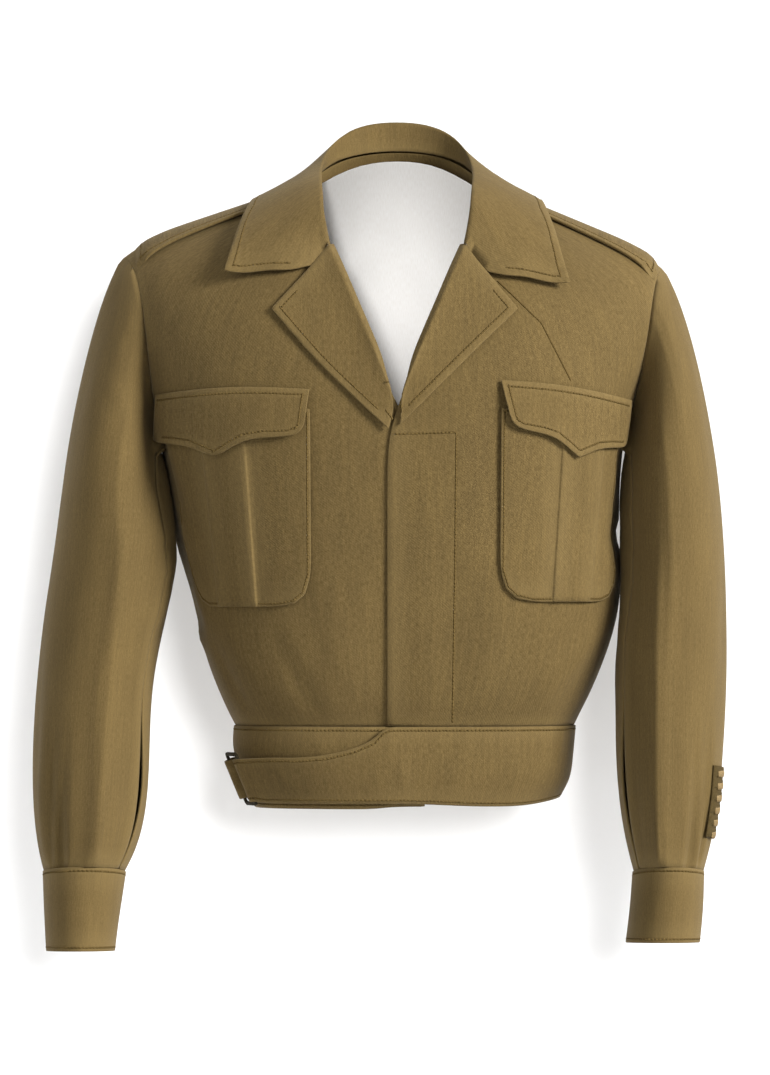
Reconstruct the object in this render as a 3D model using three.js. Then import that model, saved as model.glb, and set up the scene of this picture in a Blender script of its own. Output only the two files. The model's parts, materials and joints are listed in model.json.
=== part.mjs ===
import * as THREE from 'three';

// Waist-length uniform jacket in wool serge, filled out as it is worn.
// Millimetres. +Z is up, -Y is the front and +X is the wearer's left.
// The origin is at the height of the shoulder neck points, on the centre plane.

// Cloth and seams
const SEAM_GAP = 0.3;
const CLOTH = 1.8;
const TRIM_CLOTH = 1.5;
const LINING_CLOTH = 1.0;

// Heights
const ARMPIT_Z = -195;
const WAIST_Z = -434;
const BAND_HEM_Z = -501;
const NECK_POINT_Z = 18;
const NECK_PIT_Z = -40;
const NECK_BACK_Z = 49;
const CUFF_SEAM_Z = -555;

// Shoulder and neck
const NECK_HALF_WIDTH = 75;
const SHOULDER_SLOPES = { right: 0.33, left: 0.41 };
const SHOULDER_TIP_START = 190;
const SHOULDER_TIP_DROPS = { right: 0.0055, left: 0.0075 };
const NECK_FRONT_POWER = 0.7;
const NECK_BACK_POWER = 0.48;
const SHOULDER_SEAM_Y = 10;
const NECK_FRONT_DEPTH = 70;
const NECK_BACK_DEPTH = 48;
const YOKE_HALF_WIDTH = 241;
const SIDE_SEAM_Y = 6;

// Fullness of the sections: 2 is an ellipse, more is squarer
const TORSO_POWER = 2.45;
const RISE_POWER = 2.2;
const SHOULDER_ROUND = 1.5;
const NECK_ROUND = 1.1;
const NECK_ROUND_X = 60;
const SHOULDER_ROUND_X = 110;

// The fly laps left over right
const FLY_EDGE_X = -8;
const UNDERLAP_X = 26;
const UNDERLAP_RUN = 40;
const V_BOTTOM_Z = -168;
const SINK_START_X = -46;
const SINK_END_X = -20;
const SINK_HEIGHT = 60;

// One row for each level of the torso: half-widths to each side and depths of front and back
const TORSO_ROWS = [
  { z: -434, right: 136, left: 149, front: 86, back: 82 },
  { z: -420, right: 143.5, left: 156, front: 93, back: 88 },
  { z: -404, right: 150.5, left: 164.5, front: 99, back: 93 },
  { z: -380, right: 160, left: 174, front: 105, back: 97 },
  { z: -350, right: 167, left: 183.5, front: 111, back: 100 },
  { z: -320, right: 172, left: 187, front: 115, back: 102 },
  { z: -290, right: 181, left: 186, front: 119, back: 105 },
  { z: -260, right: 188, left: 185, front: 122, back: 108 },
  { z: -230, right: 192, left: 186, front: 125, back: 111 },
  { z: -195, right: 199, left: 190, front: 127, back: 113 },
];

// Armhole seam: distance from the centre plane at each share of the rise from armpit to shoulder
const ARMHOLE_ROWS = [
  { rise: 0, right: 199, left: 190 },
  { rise: 0.28, right: 206, left: 202 },
  { rise: 0.52, right: 210, left: 209 },
  { rise: 0.77, right: 215, left: 214 },
  { rise: 0.93, right: 222, left: 218 },
  { rise: 1, right: 230, left: 223 },
];

// Roll line, where each lapel turns back: distance from the centre plane at each height
const ROLL_ROWS = [
  { z: -168, x: 1 },
  { z: -145, x: 10 },
  { z: -100, x: 29 },
  { z: -58, x: 47 },
  { z: -30, x: 60 },
  { z: -10, x: 66 },
  { z: 6, x: 71 },
  { z: 18, x: 75 },
];

// The folds fade out over this height above the waist seam
const FOLD_FADE = 14;
// Soft folds of the body: centre, height and reach of each, and how far it stands out
const BODY_FOLDS = [
  { face: 'front', x: -52, z: -400, halfWidth: 9, halfHeight: 42, rise: 4.0 },
  { face: 'front', x: -92, z: -392, halfWidth: 11, halfHeight: 34, rise: 4.5 },
  { face: 'front', x: -124, z: -385, halfWidth: 9, halfHeight: 36, rise: 3.5 },
  { face: 'front', x: 40, z: -402, halfWidth: 10, halfHeight: 32, rise: 3.5 },
  { face: 'front', x: 82, z: -394, halfWidth: 12, halfHeight: 40, rise: 4.5 },
  { face: 'front', x: 126, z: -380, halfWidth: 11, halfHeight: 38, rise: 5.0 },
  { face: 'back', x: -110, z: -388, halfWidth: 12, halfHeight: 44, rise: 4.5 },
  { face: 'back', x: -62, z: -396, halfWidth: 10, halfHeight: 36, rise: 3.5 },
  { face: 'back', x: -14, z: -398, halfWidth: 11, halfHeight: 32, rise: 3.0 },
  { face: 'back', x: 40, z: -394, halfWidth: 12, halfHeight: 40, rise: 4.0 },
  { face: 'back', x: 96, z: -386, halfWidth: 11, halfHeight: 46, rise: 4.5 },
];

// Sleeve sections: inner and outer distance from the centre plane, middle and half depth, tilt
const SLEEVE_ROWS_RIGHT = [
  { z: -235, inner: 195, outer: 281, y: -2, halfDepth: 71, tilt: 0 },
  { z: -265, inner: 190.5, outer: 285, y: -5, halfDepth: 69, tilt: 0 },
  { z: -296, inner: 184.5, outer: 289, y: -8, halfDepth: 66, tilt: 0.5 },
  { z: -332, inner: 190, outer: 295, y: -12, halfDepth: 63, tilt: 1.5 },
  { z: -370, inner: 199.5, outer: 299.5, y: -18, halfDepth: 60, tilt: 2.5 },
  { z: -410, inner: 205, outer: 303, y: -25, halfDepth: 58, tilt: 3.5 },
  { z: -450, inner: 206, outer: 305, y: -33, halfDepth: 56, tilt: 4.5 },
  { z: -492, inner: 207.5, outer: 304.8, y: -42, halfDepth: 54, tilt: 5.5 },
  { z: -525, inner: 212.5, outer: 302, y: -49, halfDepth: 51, tilt: 6 },
  { z: -543, inner: 219.5, outer: 298.5, y: -52, halfDepth: 48, tilt: 6 },
  { z: -555, inner: 226.5, outer: 295, y: -54, halfDepth: 46, tilt: 6 },
];
const SLEEVE_ROWS_LEFT = [
  { z: -235, inner: 190.5, outer: 271, y: -2, halfDepth: 72, tilt: 0 },
  { z: -265, inner: 190, outer: 273.5, y: -5, halfDepth: 70, tilt: 0 },
  { z: -296, inner: 191, outer: 275.5, y: -8, halfDepth: 67, tilt: 0.5 },
  { z: -332, inner: 189.5, outer: 276.5, y: -12, halfDepth: 64, tilt: 1.5 },
  { z: -370, inner: 181.5, outer: 277, y: -18, halfDepth: 61, tilt: 2.5 },
  { z: -410, inner: 182.5, outer: 276, y: -25, halfDepth: 58, tilt: 3.5 },
  { z: -450, inner: 182, outer: 273.5, y: -33, halfDepth: 56, tilt: 4.5 },
  { z: -492, inner: 184.5, outer: 270, y: -42, halfDepth: 54, tilt: 5.5 },
  { z: -525, inner: 189, outer: 264.5, y: -49, halfDepth: 51, tilt: 6 },
  { z: -543, inner: 193.5, outer: 259.5, y: -52, halfDepth: 48, tilt: 6 },
  { z: -555, inner: 197, outer: 256, y: -54, halfDepth: 46, tilt: 6 },
];

// Sleeve angles, in degrees round the arm: 0 outer side, 90 front, 180 inner side, 270 back
const SLEEVE_FRONT_SEAM = 148;
const SLEEVE_BACK_SEAM = 262;
const SLEEVE_COLUMNS_TOP = 19;
const SLEEVE_COLUMNS_UNDER = 7;
const SLEEVE_HEAD_ROWS = 6;
const SLEEVE_CREASE_ANGLE = 101;
const SLEEVE_CREASE_RISE = 3.2;
const SLEEVE_CREASE_SPREAD = 9;
const CUFF_PLEAT_ANGLE = 58;
const CUFF_PLEAT_DEPTH = 4.2;
const CUFF_PLEAT_SPREAD = 7;
const CUFF_PLEAT_TOP_Z = -400;
const ARMHOLE_EASE = 2.1;
const SLEEVE_CREASE_FULL_Z = -260;
const SLEEVE_CREASE_FADE_TOP = 10;
const SLEEVE_CREASE_FADE_BOTTOM = 20;
const CUFF_PLEAT_FULL_ABOVE = 30;
const VENT_TOP_Z = -440;
const VENT_WIDTH = 8;
const VENT_RUN = 25;
const VENT_CLOSING_Z = -480;
const VENT_CLOSED_SHARE = 0.8;
// The sleeve head's curve: how it leaves the armhole and how it arrives at the first section
const HEAD_LEAVE = { out: 2, outRise: 62, outPower: 1.2, ahead: 24, down: 38, downRise: 60 };
const HEAD_ARRIVE = { outRise: 22, ahead: 6, down: 60, downRise: 130 };

// Cuffs
const CUFF_ROWS_RIGHT = [
  { z: -555.4, inner: 226, outer: 295.8, y: -54.2, halfDepth: 46.5, tilt: 6 },
  { z: -588, inner: 231, outer: 294.5, y: -60.5, halfDepth: 45.5, tilt: 4 },
  { z: -621, inner: 235, outer: 292.5, y: -67, halfDepth: 44, tilt: 1.5 },
];
const CUFF_ROWS_LEFT = [
  { z: -555.4, inner: 196.5, outer: 256.5, y: -54.2, halfDepth: 46.5, tilt: 6 },
  { z: -588, inner: 194, outer: 255.5, y: -60.5, halfDepth: 45.5, tilt: 4 },
  { z: -614, inner: 190.5, outer: 252.5, y: -66, halfDepth: 44, tilt: 1.5 },
];
const CUFF_START_ANGLE = 214;
const CUFF_OVERLAP_ANGLE = 26;
const CUFF_LAP_START = 34;
const CUFF_LAP_FULL = 4;
const CUFF_COLUMNS = 32;
const CUFF_ROW_STEPS = 3;
const SLEEVE_RADIUS = 50;
const CUFF_BUTTON_RADIUS = 7.5;
const CUFF_BUTTON_THICKNESS = 2.6;
const CUFF_BUTTON_SHANK = 1.0;
const CUFF_BUTTON_TILT_STEP = 2;

// Pocket flaps: how far the lower edge hangs at each share of the width, from the inner end
const FLAP_DROPS = [
  { across: 0, drop: 30 },
  { across: 0.03, drop: 36 },
  { across: 0.1, drop: 39.5 },
  { across: 0.28, drop: 41 },
  { across: 0.4, drop: 43.5 },
  { across: 0.5, drop: 50 },
  { across: 0.59, drop: 56.5 },
  { across: 0.68, drop: 51 },
  { across: 0.77, drop: 45.5 },
  { across: 0.88, drop: 42 },
  { across: 0.97, drop: 40 },
  { across: 1, drop: 36 },
];
const FLAP_ROWS = 4;
const FLAP_TOP_LIFT = 2.0;
const FLAP_EDGE_LIFT = 8.8;
const FLAP_LIFT_POWER = 0.8;

// Each side's pocket: inner and outer ends of the flap, pocket edges and the box pleat
const POCKETS = {
  right: {
    flap: {
      innerX: -72.5, innerLowX: -76, innerZ: -154.5,
      outerX: -200, outerLowX: -196, outerZ: -157.5, arch: 3.5,
    },
    innerTopX: -72, innerBottomX: -71, bottomZ: -334,
    pleatInnerTopX: -127, pleatInnerBottomX: -115,
    pleatOuterTopX: -163, pleatOuterBottomX: -146,
  },
  left: {
    flap: {
      innerX: 86, innerLowX: 92, innerZ: -147,
      outerX: 195, outerLowX: 184, outerZ: -162, arch: 3,
    },
    innerTopX: 86, innerBottomX: 85, bottomZ: -330,
    pleatInnerTopX: 137.5, pleatInnerBottomX: 128,
    pleatOuterTopX: 172, pleatOuterBottomX: 158,
  },
};
const POCKET_TOP_Z = -172;
const POCKET_OUTER_TURN = 73;
const POCKET_CORNER = 26;
const POCKET_LIFT = 1.2;
const POCKET_THICKNESS = 1.5;
const POCKET_PUFF = 1.0;
const POCKET_ROWS = 7;
const POCKET_MEAN_RADIUS = 165;
const POCKET_MIDDLE_X = 130;
const POCKET_OPENED_FROM = 4;
const POCKET_OPENED_TO = 28;
// Columns of a pocket on each side of its pleat, as shares of that side's width
const POCKET_INNER_SHARES = [0, 0.1, 0.28, 0.6];
const POCKET_OUTER_SHARES = [0.4, 0.72, 0.9, 1];
const PLEAT_RISE = 1.9;
const PLEAT_STEP_TURN = 0.25;

// Lapels: corners of each side, as distances from the centre plane and heights
const LAPELS = {
  right: { pointX: 104, pointZ: -87.5, midX: 62, midZ: -135, footX: 7, footZ: -187 },
  left: { pointX: 100, pointZ: -87.5, midX: 51, midZ: -135, footX: 2, footZ: -184 },
};
const LAPEL_TOP_Z = -37;
const LAPEL_LIFT = 0.9;
const LAPEL_ROLL_LIFT = 5;
const LAPEL_FOOT_X = 4;
const LAPEL_TURN_OUT = 4.6;
const LAPEL_TURN_BACK = 5.5;
const LAPEL_ROWS = 9;
const LAPEL_FOOT_DROP = 6;
const LAPEL_FLAT_TURN_OUT = 0.5;
const LAPEL_PUFF_FALL = 5;
// Columns of a lapel, as shares of its width from the roll line
const LAPEL_ACROSS = [0, 0.1, 0.25, 0.45, 0.65, 0.84, 1];

// Collar: a row for each station from the centre back to the front end, and the three lines at it:
// the neck seam, the roll line and the outer edge of the fall
const COLLAR_ROWS = [
  { seam: [0, 59.5, 50], roll: [0, 67, 74], edge: [0, 92, 14] },
  { seam: [26, 56, 48.3], roll: [25, 63, 72], edge: [38, 90, 10] },
  { seam: [50, 45.5, 42.6], roll: [46, 49, 63], edge: [76, 77, 4] },
  { seam: [66, 27, 32.5], roll: [59, 28, 47], edge: [104, 48, 0] },
  { seam: [71, 6, 20], roll: [63.5, 5, 33], edge: [119, 12, 10] },
  { seam: [68, -16, 10], roll: [64, -19, 24], edge: [125, -22, 0] },
  { seam: [64, -36, -2], roll: [62.5, -41, 12], edge: [132, -46, -20] },
  { seam: [61, -52, -16], roll: [61.5, -58, -6], edge: [138, -66, -38] },
  { seam: [60, -64, -31], roll: [60.8, -69.5, -29], edge: [144, -76, -55] },
];
const COLLAR_LEFT_POINT_DROP = 10;
const COLLAR_STAND_STEPS = 2;
const COLLAR_FALL_STEPS = 6;
// Bend of the collar's front end round the notch: shift down at each share of the fall
const COLLAR_END_BEND = [
  { across: 0, drop: 0 },
  { across: 0.3, drop: 19 },
  { across: 0.44, drop: 14.5 },
  { across: 0.9, drop: 6 },
  { across: 1, drop: 0 },
];
const COLLAR_PUFF = 3.2;
const COLLAR_PUFF_LOSS = 0.6;
const COLLAR_LEAN_X = 0.25;
const COLLAR_LEAN_Y = 0.3;
const COLLAR_BEND_STATIONS = 1.4;
const COLLAR_CLEARANCE = 4.2;

// Shoulder straps
const STRAP_INNER_X = 112;
const STRAP_OUTER_X = 213;
const STRAP_HALF_WIDTH_INNER = 21;
const STRAP_HALF_WIDTH_OUTER = 27;
const STRAP_LIFT = 1.2;
const STRAP_THICKNESS = 2.4;
const STRAP_STEPS = 8;
const STRAP_ACROSS = [-1, -0.75, -0.4, 0, 0.3, 0.6, 0.8];

// Waistband: half-widths and depths at each level
const BAND_ROWS = [
  { z: -434.6, right: 137, left: 150.5, front: 87.5, back: 83.5 },
  { z: -455, right: 138.5, left: 148.5, front: 90, back: 86 },
  { z: -480, right: 129.5, left: 146, front: 87, back: 84 },
  { z: -494, right: 123, left: 138, front: 83, back: 80 },
  { z: -501, right: 119.5, left: 131, front: 80, back: 77 },
];
const BAND_THICKNESS = 2.6;
const BAND_UNDER_DROP = 2;
// The under-band drops below the hem as far as this share of its length
const BAND_DROP_END = 0.9;
const BAND_DROP_FULL = 0.78;
// The hem rises toward the left side seam from this angle on
const BAND_SIDE_LIFT = 6;
const BAND_SIDE_LIFT_TURN = 45;
const BAND_UNDERLAP_X = 24;
const BAND_ROW_STEPS = 4;
const BAND_BACK_COLUMNS = 22;
const BAND_FRONT_COLUMNS = 16;
const BAND_LEFT_COLUMNS = 13;
// Fastening strap: its upper edge at each distance from the centre, on the way to the buckle
const FASTENING_ROWS = [
  { x: -6, z: -434.6 },
  { x: -13, z: -438 },
  { x: -20, z: -446 },
  { x: -36, z: -453 },
  { x: -58, z: -458.5 },
  { x: -80, z: -460.5 },
  { x: -104, z: -460.5 },
  { x: -123, z: -460.5 },
];
const FASTENING_HEM_Z = -498.5;
const FASTENING_LIFT = 4.0;
const FASTENING_RISE_X = 22;
const FASTENING_FULL_X = -12;
const UNDER_BAND_RISE_X = -20;
const UNDER_BAND_SUNK_X = -2;
// Columns of the strap, from the buckle to the centre
const FASTENING_COLUMNS_X = [-104, -94, -80, -58, -36, -20, -13, -6];
const BAND_LEFT_START_X = 2;
const BAND_HEM_BLEND = 0.4;

// Buckle: a plain slide frame with a middle bar
const BUCKLE_HEIGHT = 48;
const BUCKLE_LENGTH = 30;
const BUCKLE_BAR = 3;
const BUCKLE_THICKNESS = 2.4;
const BUCKLE_LIFT = 4.4;
const BUCKLE_TURN = -76;
const BUCKLE_Z = -479;
const BUCKLE_CORNER = 4;
const BUCKLE_WINDOW_CORNER = 1.5;
// How far from the buckle's middle the band's slope is measured
const BUCKLE_SLOPE_HEIGHT = 12;
const BUCKLE_SLOPE_TURN = 5;
// Cloth goes over each end bar of the buckle: its outer and inner faces, as distances
// along the buckle from its middle and out from its middle plane
const BAR_WRAP = [
  { outAlong: 7.6, outRise: -2.4, inAlong: 9.6, inRise: -2.6 },
  { outAlong: 7.9, outRise: 1.6, inAlong: 10.6, inRise: 0.4 },
  { outAlong: 10.2, outRise: 4.3, inAlong: 11.6, inRise: 2.1 },
  { outAlong: 14.2, outRise: 4.7, inAlong: 14.2, inRise: 2.3 },
  { outAlong: 18.6, outRise: 2.8, inAlong: 17, inRise: 1.2 },
];
const TAB_ANCHOR_TURNS = [-114, -104, -97];
const TAB_ANCHOR_LIFT = 3.0;
const TAB_HALF_HEIGHT = 17;
const TAB_THICKNESS = 1.8;

// Service-bar patch on the left sleeve
const BARS_COUNT = 6;
const BARS_TOP_Z = -469;
const BARS_BOTTOM_Z = -530;
const BARS_FRONT_ANGLE = 38;
const BARS_REAR_ANGLE = 12;
const BARS_LIFT = 0.5;
const BARS_BASE = 1.1;
const BARS_RISE = 1.0;

const degrees = THREE.MathUtils.degToRad;
const lerp = THREE.MathUtils.lerp;

function smooth(low, high, value) {
  const share = THREE.MathUtils.clamp((value - low) / (high - low), 0, 1);
  return share * share * (3 - 2 * share);
}

function cubic(before, start, end, after, share) {
  const slopeIn = (end - before) / 2;
  const slopeOut = (after - start) / 2;
  const s2 = share * share;
  const s3 = s2 * share;
  return start * (2 * s3 - 3 * s2 + 1) + slopeIn * (s3 - 2 * s2 + share)
    + end * (3 * s2 - 2 * s3) + slopeOut * (s3 - s2);
}

// The row of a table that a value has reached, and how far it is on the way to the next row
function findRow(rows, key, value) {
  const rising = rows[rows.length - 1][key] > rows[0][key];
  let index = 0;
  for (let i = 0; i < rows.length - 1; i += 1) {
    const reached = rising ? value >= rows[i][key] : value <= rows[i][key];
    if (reached) index = i;
  }
  const start = rows[index];
  const end = rows[index + 1];
  const share = THREE.MathUtils.clamp((value - start[key]) / (end[key] - start[key]), 0, 1);
  return { index, start, end, share };
}

// Looks a table up at a value of its key column, with a smooth curve through its rows
function lookUp(rows, key, value, column) {
  const { index, start, end, share } = findRow(rows, key, value);
  const before = rows[Math.max(index - 1, 0)];
  const after = rows[Math.min(index + 2, rows.length - 1)];
  return cubic(before[column], start[column], end[column], after[column], share);
}

// Straight-line look-up, for edges that must not overshoot
function lookUpStraight(rows, key, value, column) {
  const { start, end, share } = findRow(rows, key, value);
  return lerp(start[column], end[column], share);
}

const sideOf = (x) => (x < 0 ? 'right' : 'left');

// Height and depth of the upper edge of the body: the shoulder seam outside the neck point,
// and the front or back neckline inside it
function topZ(face, x) {
  const distance = Math.abs(x);
  if (distance >= NECK_HALF_WIDTH) {
    const past = Math.max(distance - SHOULDER_TIP_START, 0);
    return NECK_POINT_Z - SHOULDER_SLOPES[sideOf(x)] * (distance - NECK_HALF_WIDTH)
      - SHOULDER_TIP_DROPS[sideOf(x)] * past * past;
  }
  const inside = 1 - (distance / NECK_HALF_WIDTH) ** 2;
  if (face === 'front') return lerp(NECK_POINT_Z, NECK_PIT_Z, inside ** NECK_FRONT_POWER);
  return lerp(NECK_POINT_Z, NECK_BACK_Z, inside ** NECK_BACK_POWER);
}

function topY(face, x) {
  const inside = Math.max(1 - (Math.abs(x) / NECK_HALF_WIDTH) ** 2, 0);
  if (face === 'front') return SHOULDER_SEAM_Y - NECK_FRONT_DEPTH * Math.sqrt(inside);
  return SHOULDER_SEAM_Y + NECK_BACK_DEPTH * Math.sqrt(inside);
}

function halfWidth(x, level, height) {
  const side = sideOf(x);
  if (level <= 0) return lookUp(TORSO_ROWS, 'z', height, side);
  return lerp(TORSO_ROWS[TORSO_ROWS.length - 1][side], YOKE_HALF_WIDTH, level);
}

function foldRise(face, x, z) {
  let rise = 0;
  for (const fold of BODY_FOLDS) {
    if (fold.face === face) {
      const across = (x - fold.x) / fold.halfWidth;
      const along = (z - fold.z) / fold.halfHeight;
      rise += fold.rise * Math.exp(-across * across - along * along);
    }
  }
  return rise * smooth(WAIST_Z, WAIST_Z + FOLD_FADE, z);
}

// A point of the body. turn is the angle in degrees from the centre line of that face, level runs
// from -1 at the waist seam through 0 at the armpit to 1 at the shoulder seam or neckline.
function bodyPoint(face, turn, level) {
  const upper = Math.max(level, 0);
  const rowZ = lerp(ARMPIT_Z, WAIST_Z, Math.max(-level, 0));
  const sine = Math.sin(degrees(turn));
  const x = sine * halfWidth(sine, level, rowZ);
  const bulge = Math.max(1 - Math.abs(sine) ** TORSO_POWER, 0) ** (1 / TORSO_POWER);
  const depth = lookUp(TORSO_ROWS, 'z', rowZ, face);
  const outward = face === 'front' ? -1 : 1;
  const bodyY = SIDE_SEAM_Y + outward * (depth * bulge);
  const outFromNeck = smooth(NECK_ROUND_X, SHOULDER_ROUND_X, Math.abs(x));
  const roundness = lerp(NECK_ROUND, SHOULDER_ROUND, outFromNeck);
  const share = Math.max(1 - upper ** RISE_POWER, 0) ** (1 / roundness);
  const z = level <= 0 ? rowZ : lerp(ARMPIT_Z, topZ(face, x), upper);
  const y = level <= 0 ? bodyY : lerp(topY(face, x), bodyY, share);
  return new THREE.Vector3(x, y + outward * foldRise(face, x, z) * bulge, z);
}

// The angle from the centre line at which the body is this far out, at a level or height
function turnAtX(x, level, height) {
  const ratio = THREE.MathUtils.clamp(x / halfWidth(x, level, height), -1, 1);
  return THREE.MathUtils.radToDeg(Math.asin(ratio));
}

// The angle and level of the spot on the front that shows at this x and z
function frontSpot(x, z) {
  const level = z <= ARMPIT_Z
    ? (z - ARMPIT_Z) / (ARMPIT_Z - WAIST_Z)
    : (z - ARMPIT_Z) / (topZ('front', x) - ARMPIT_Z);
  return { turn: turnAtX(x, level, z), level: Math.min(level, 1) };
}

function bodyNormal(face, turn, level) {
  const stepTurn = 0.5;
  const stepLevel = 0.01;
  const lower = Math.min(level, 1 - stepLevel) - stepLevel;
  const east = bodyPoint(face, turn + stepTurn, level);
  const west = bodyPoint(face, turn - stepTurn, level);
  const north = bodyPoint(face, turn, lower + 2 * stepLevel);
  const south = bodyPoint(face, turn, lower);
  const normal = east.sub(west).cross(north.sub(south)).normalize();
  return face === 'front' ? normal : normal.negate();
}

function bodySkin(face, turn, level, lift) {
  return bodyPoint(face, turn, level).addScaledVector(bodyNormal(face, turn, level), lift);
}

// A spot on the front given by its x and z, lifted off the cloth
function onFront(x, z, lift) {
  const spot = frontSpot(x, z);
  return bodySkin('front', spot.turn, spot.level, lift);
}

// Rows of points, from lower to upper and from the wearer's right to left as seen from outside,
// make one closed wall between an outer and an inner sheet
function solidBetween(outer, inner) {
  const rows = outer.length;
  const columns = outer[0].length;
  const positions = [];
  for (const sheet of [outer, inner]) {
    for (const row of sheet) {
      for (const point of row) positions.push(point.x, point.y, point.z);
    }
  }
  const at = (sheet, row, column) => (sheet * rows + row) * columns + column;
  const index = [];
  const quad = (a, b, c, d) => index.push(a, b, c, a, c, d);
  const spans = columns - 1;
  for (let r = 0; r < rows - 1; r += 1) {
    for (let c = 0; c < spans; c += 1) {
      quad(at(0, r, c), at(0, r, c + 1), at(0, r + 1, c + 1), at(0, r + 1, c));
      quad(at(1, r, c), at(1, r + 1, c), at(1, r + 1, c + 1), at(1, r, c + 1));
    }
    quad(at(1, r, 0), at(0, r, 0), at(0, r + 1, 0), at(1, r + 1, 0));
    quad(at(0, r, spans), at(1, r, spans), at(1, r + 1, spans), at(0, r + 1, spans));
  }
  for (let c = 0; c < spans; c += 1) {
    const top = rows - 1;
    quad(at(0, 0, c), at(1, 0, c), at(1, 0, c + 1), at(0, 0, c + 1));
    quad(at(0, top, c), at(0, top, c + 1), at(1, top, c + 1), at(1, top, c));
  }
  const geometry = new THREE.BufferGeometry();
  geometry.setAttribute('position', new THREE.Float32BufferAttribute(positions, 3));
  geometry.setIndex(index);
  geometry.computeVertexNormals();
  return geometry;
}

function gridNormals(rows) {
  const last = rows[0].length - 1;
  return rows.map((row, r) => row.map((point, c) => {
    const left = row[Math.max(c - 1, 0)];
    const right = row[Math.min(c + 1, last)];
    const up = rows[Math.min(r + 1, rows.length - 1)][c];
    const down = rows[Math.max(r - 1, 0)][c];
    return right.clone().sub(left).cross(up.clone().sub(down)).normalize();
  }));
}

function moved(rows, normals, distance) {
  return rows.map((row, r) => row.map((point, c) => (
    point.clone().addScaledVector(normals[r][c], distance)
  )));
}

// Cloth of one thickness, from its outer face inward
function clothWall(rows, thickness, normals = gridNormals(rows)) {
  return solidBetween(rows, moved(rows, normals, -thickness));
}

function gridOf(rowCount, columnCount, pointAt) {
  const rows = [];
  for (let r = 0; r <= rowCount; r += 1) {
    const row = [];
    for (let c = 0; c <= columnCount; c += 1) row.push(pointAt(r / rowCount, c / columnCount));
    rows.push(row);
  }
  return rows;
}

const serge = { color: 0x6f5c37, roughness: 0.92, metalness: 0 };
const sergeLight = { color: 0x7d683f, roughness: 0.92, metalness: 0 };
const paleLining = { color: 0xe6ddcc, roughness: 0.7, metalness: 0 };
const darkMetal = { color: 0x3b3524, roughness: 0.45, metalness: 0.8 };
const buttonPlastic = { color: 0x4a3d25, roughness: 0.5, metalness: 0 };
const embroidery = { color: 0x9a7b3c, roughness: 0.85, metalness: 0 };

const jacket = new THREE.Group();

function addPiece(name, geometry, finish) {
  const mesh = new THREE.Mesh(geometry, new THREE.MeshStandardMaterial(finish));
  mesh.name = name;
  jacket.add(mesh);
  return mesh;
}

// Levels of the body rows, closer together near the waist seam and the shoulder
const LOWER_LEVELS = [-1, -0.955, -0.9, -0.82, -0.73, -0.62, -0.5, -0.36, -0.2, 0];
const UPPER_LEVELS = [0.13, 0.27, 0.42, 0.56, 0.69, 0.8, 0.89, 0.955, 1];

// Share of the rise from armpit to neck point at which each upper row meets the front's edge
function innerEdgeZ(level) {
  return lerp(ARMPIT_Z, NECK_POINT_Z, level);
}

function frontEdgeX(side, level, z) {
  if (z > V_BOTTOM_Z) {
    const x = lookUp(ROLL_ROWS, 'z', z, 'x');
    return side === 'right' ? -x : x;
  }
  const underlap = UNDERLAP_X * smooth(V_BOTTOM_Z, V_BOTTOM_Z - UNDERLAP_RUN, z);
  return side === 'right' ? underlap : FLY_EDGE_X;
}

// The right front sinks behind the left one where they lap
function underlapLift(x, z) {
  const drop = CLOTH + 2 * SEAM_GAP;
  return -drop * smooth(SINK_START_X, SINK_END_X, x)
    * smooth(V_BOTTOM_Z + SINK_HEIGHT, V_BOTTOM_Z, z);
}

function armholeTurn(side, level) {
  const x = lookUpStraight(ARMHOLE_ROWS, 'rise', Math.max(level, 0), side);
  const width = halfWidth(side === 'right' ? -1 : 1, Math.max(level, 0), ARMPIT_Z);
  return THREE.MathUtils.radToDeg(Math.asin(Math.min(x / width, 1)));
}

const LINING_LEVELS = [-0.95, -0.8, -0.62, -0.42, -0.2, 0.05, 0.27, 0.48, 0.66, 0.82, 0.93, 0.992];
const LINING_GAP = 2.4;
const LINING_NECK_DROP = 2.0;

const FRONT_COLUMNS = 12;
const SIDE_GAP_TURN = 0.15;

// A panel from rows of points with their normals. Its inner face stays on its own side
// of the shoulder seam.
function panelWall(rows, thickness, face) {
  const outer = rows.map((row) => row.map(({ point }) => point));
  const inner = moved(outer, rows.map((row) => row.map(({ normal }) => normal)), -thickness);
  const last = outer.length - 1;
  inner[last].forEach((point, c) => {
    const seamY = outer[last][c].y;
    point.y = face === 'front' ? Math.min(point.y, seamY) : Math.max(point.y, seamY);
  });
  return solidBetween(outer, inner);
}

function frontPanel(side) {
  const sign = side === 'right' ? -1 : 1;
  const rows = [...LOWER_LEVELS, ...UPPER_LEVELS].map((level) => {
    const rowZ = level <= 0 ? lerp(ARMPIT_Z, WAIST_Z, -level) : innerEdgeZ(level);
    const edgeX = frontEdgeX(side, level, rowZ);
    const inner = frontSpot(edgeX, rowZ);
    const outerTurn = sign * (level <= 0 ? 90 - SIDE_GAP_TURN : armholeTurn(side, level));
    const row = [];
    for (let c = 0; c <= FRONT_COLUMNS; c += 1) {
      const share = c / FRONT_COLUMNS;
      const turn = lerp(inner.turn, outerTurn, share);
      const pointLevel = level === 1 ? 1 : lerp(inner.level, level, share);
      const spot = bodyPoint('front', turn, pointLevel);
      const lift = side === 'right' ? underlapLift(spot.x, spot.z) : 0;
      const point = bodySkin('front', turn, pointLevel, lift);
      point.y -= SEAM_GAP * smooth(0.9, 1, pointLevel);
      row.push({ point, normal: bodyNormal('front', turn, pointLevel) });
    }
    return side === 'right' ? row.reverse() : row;
  });
  return panelWall(rows, CLOTH, 'front');
}

const BACK_COLUMNS = 22;
const LINING_COLUMNS = 14;

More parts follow.
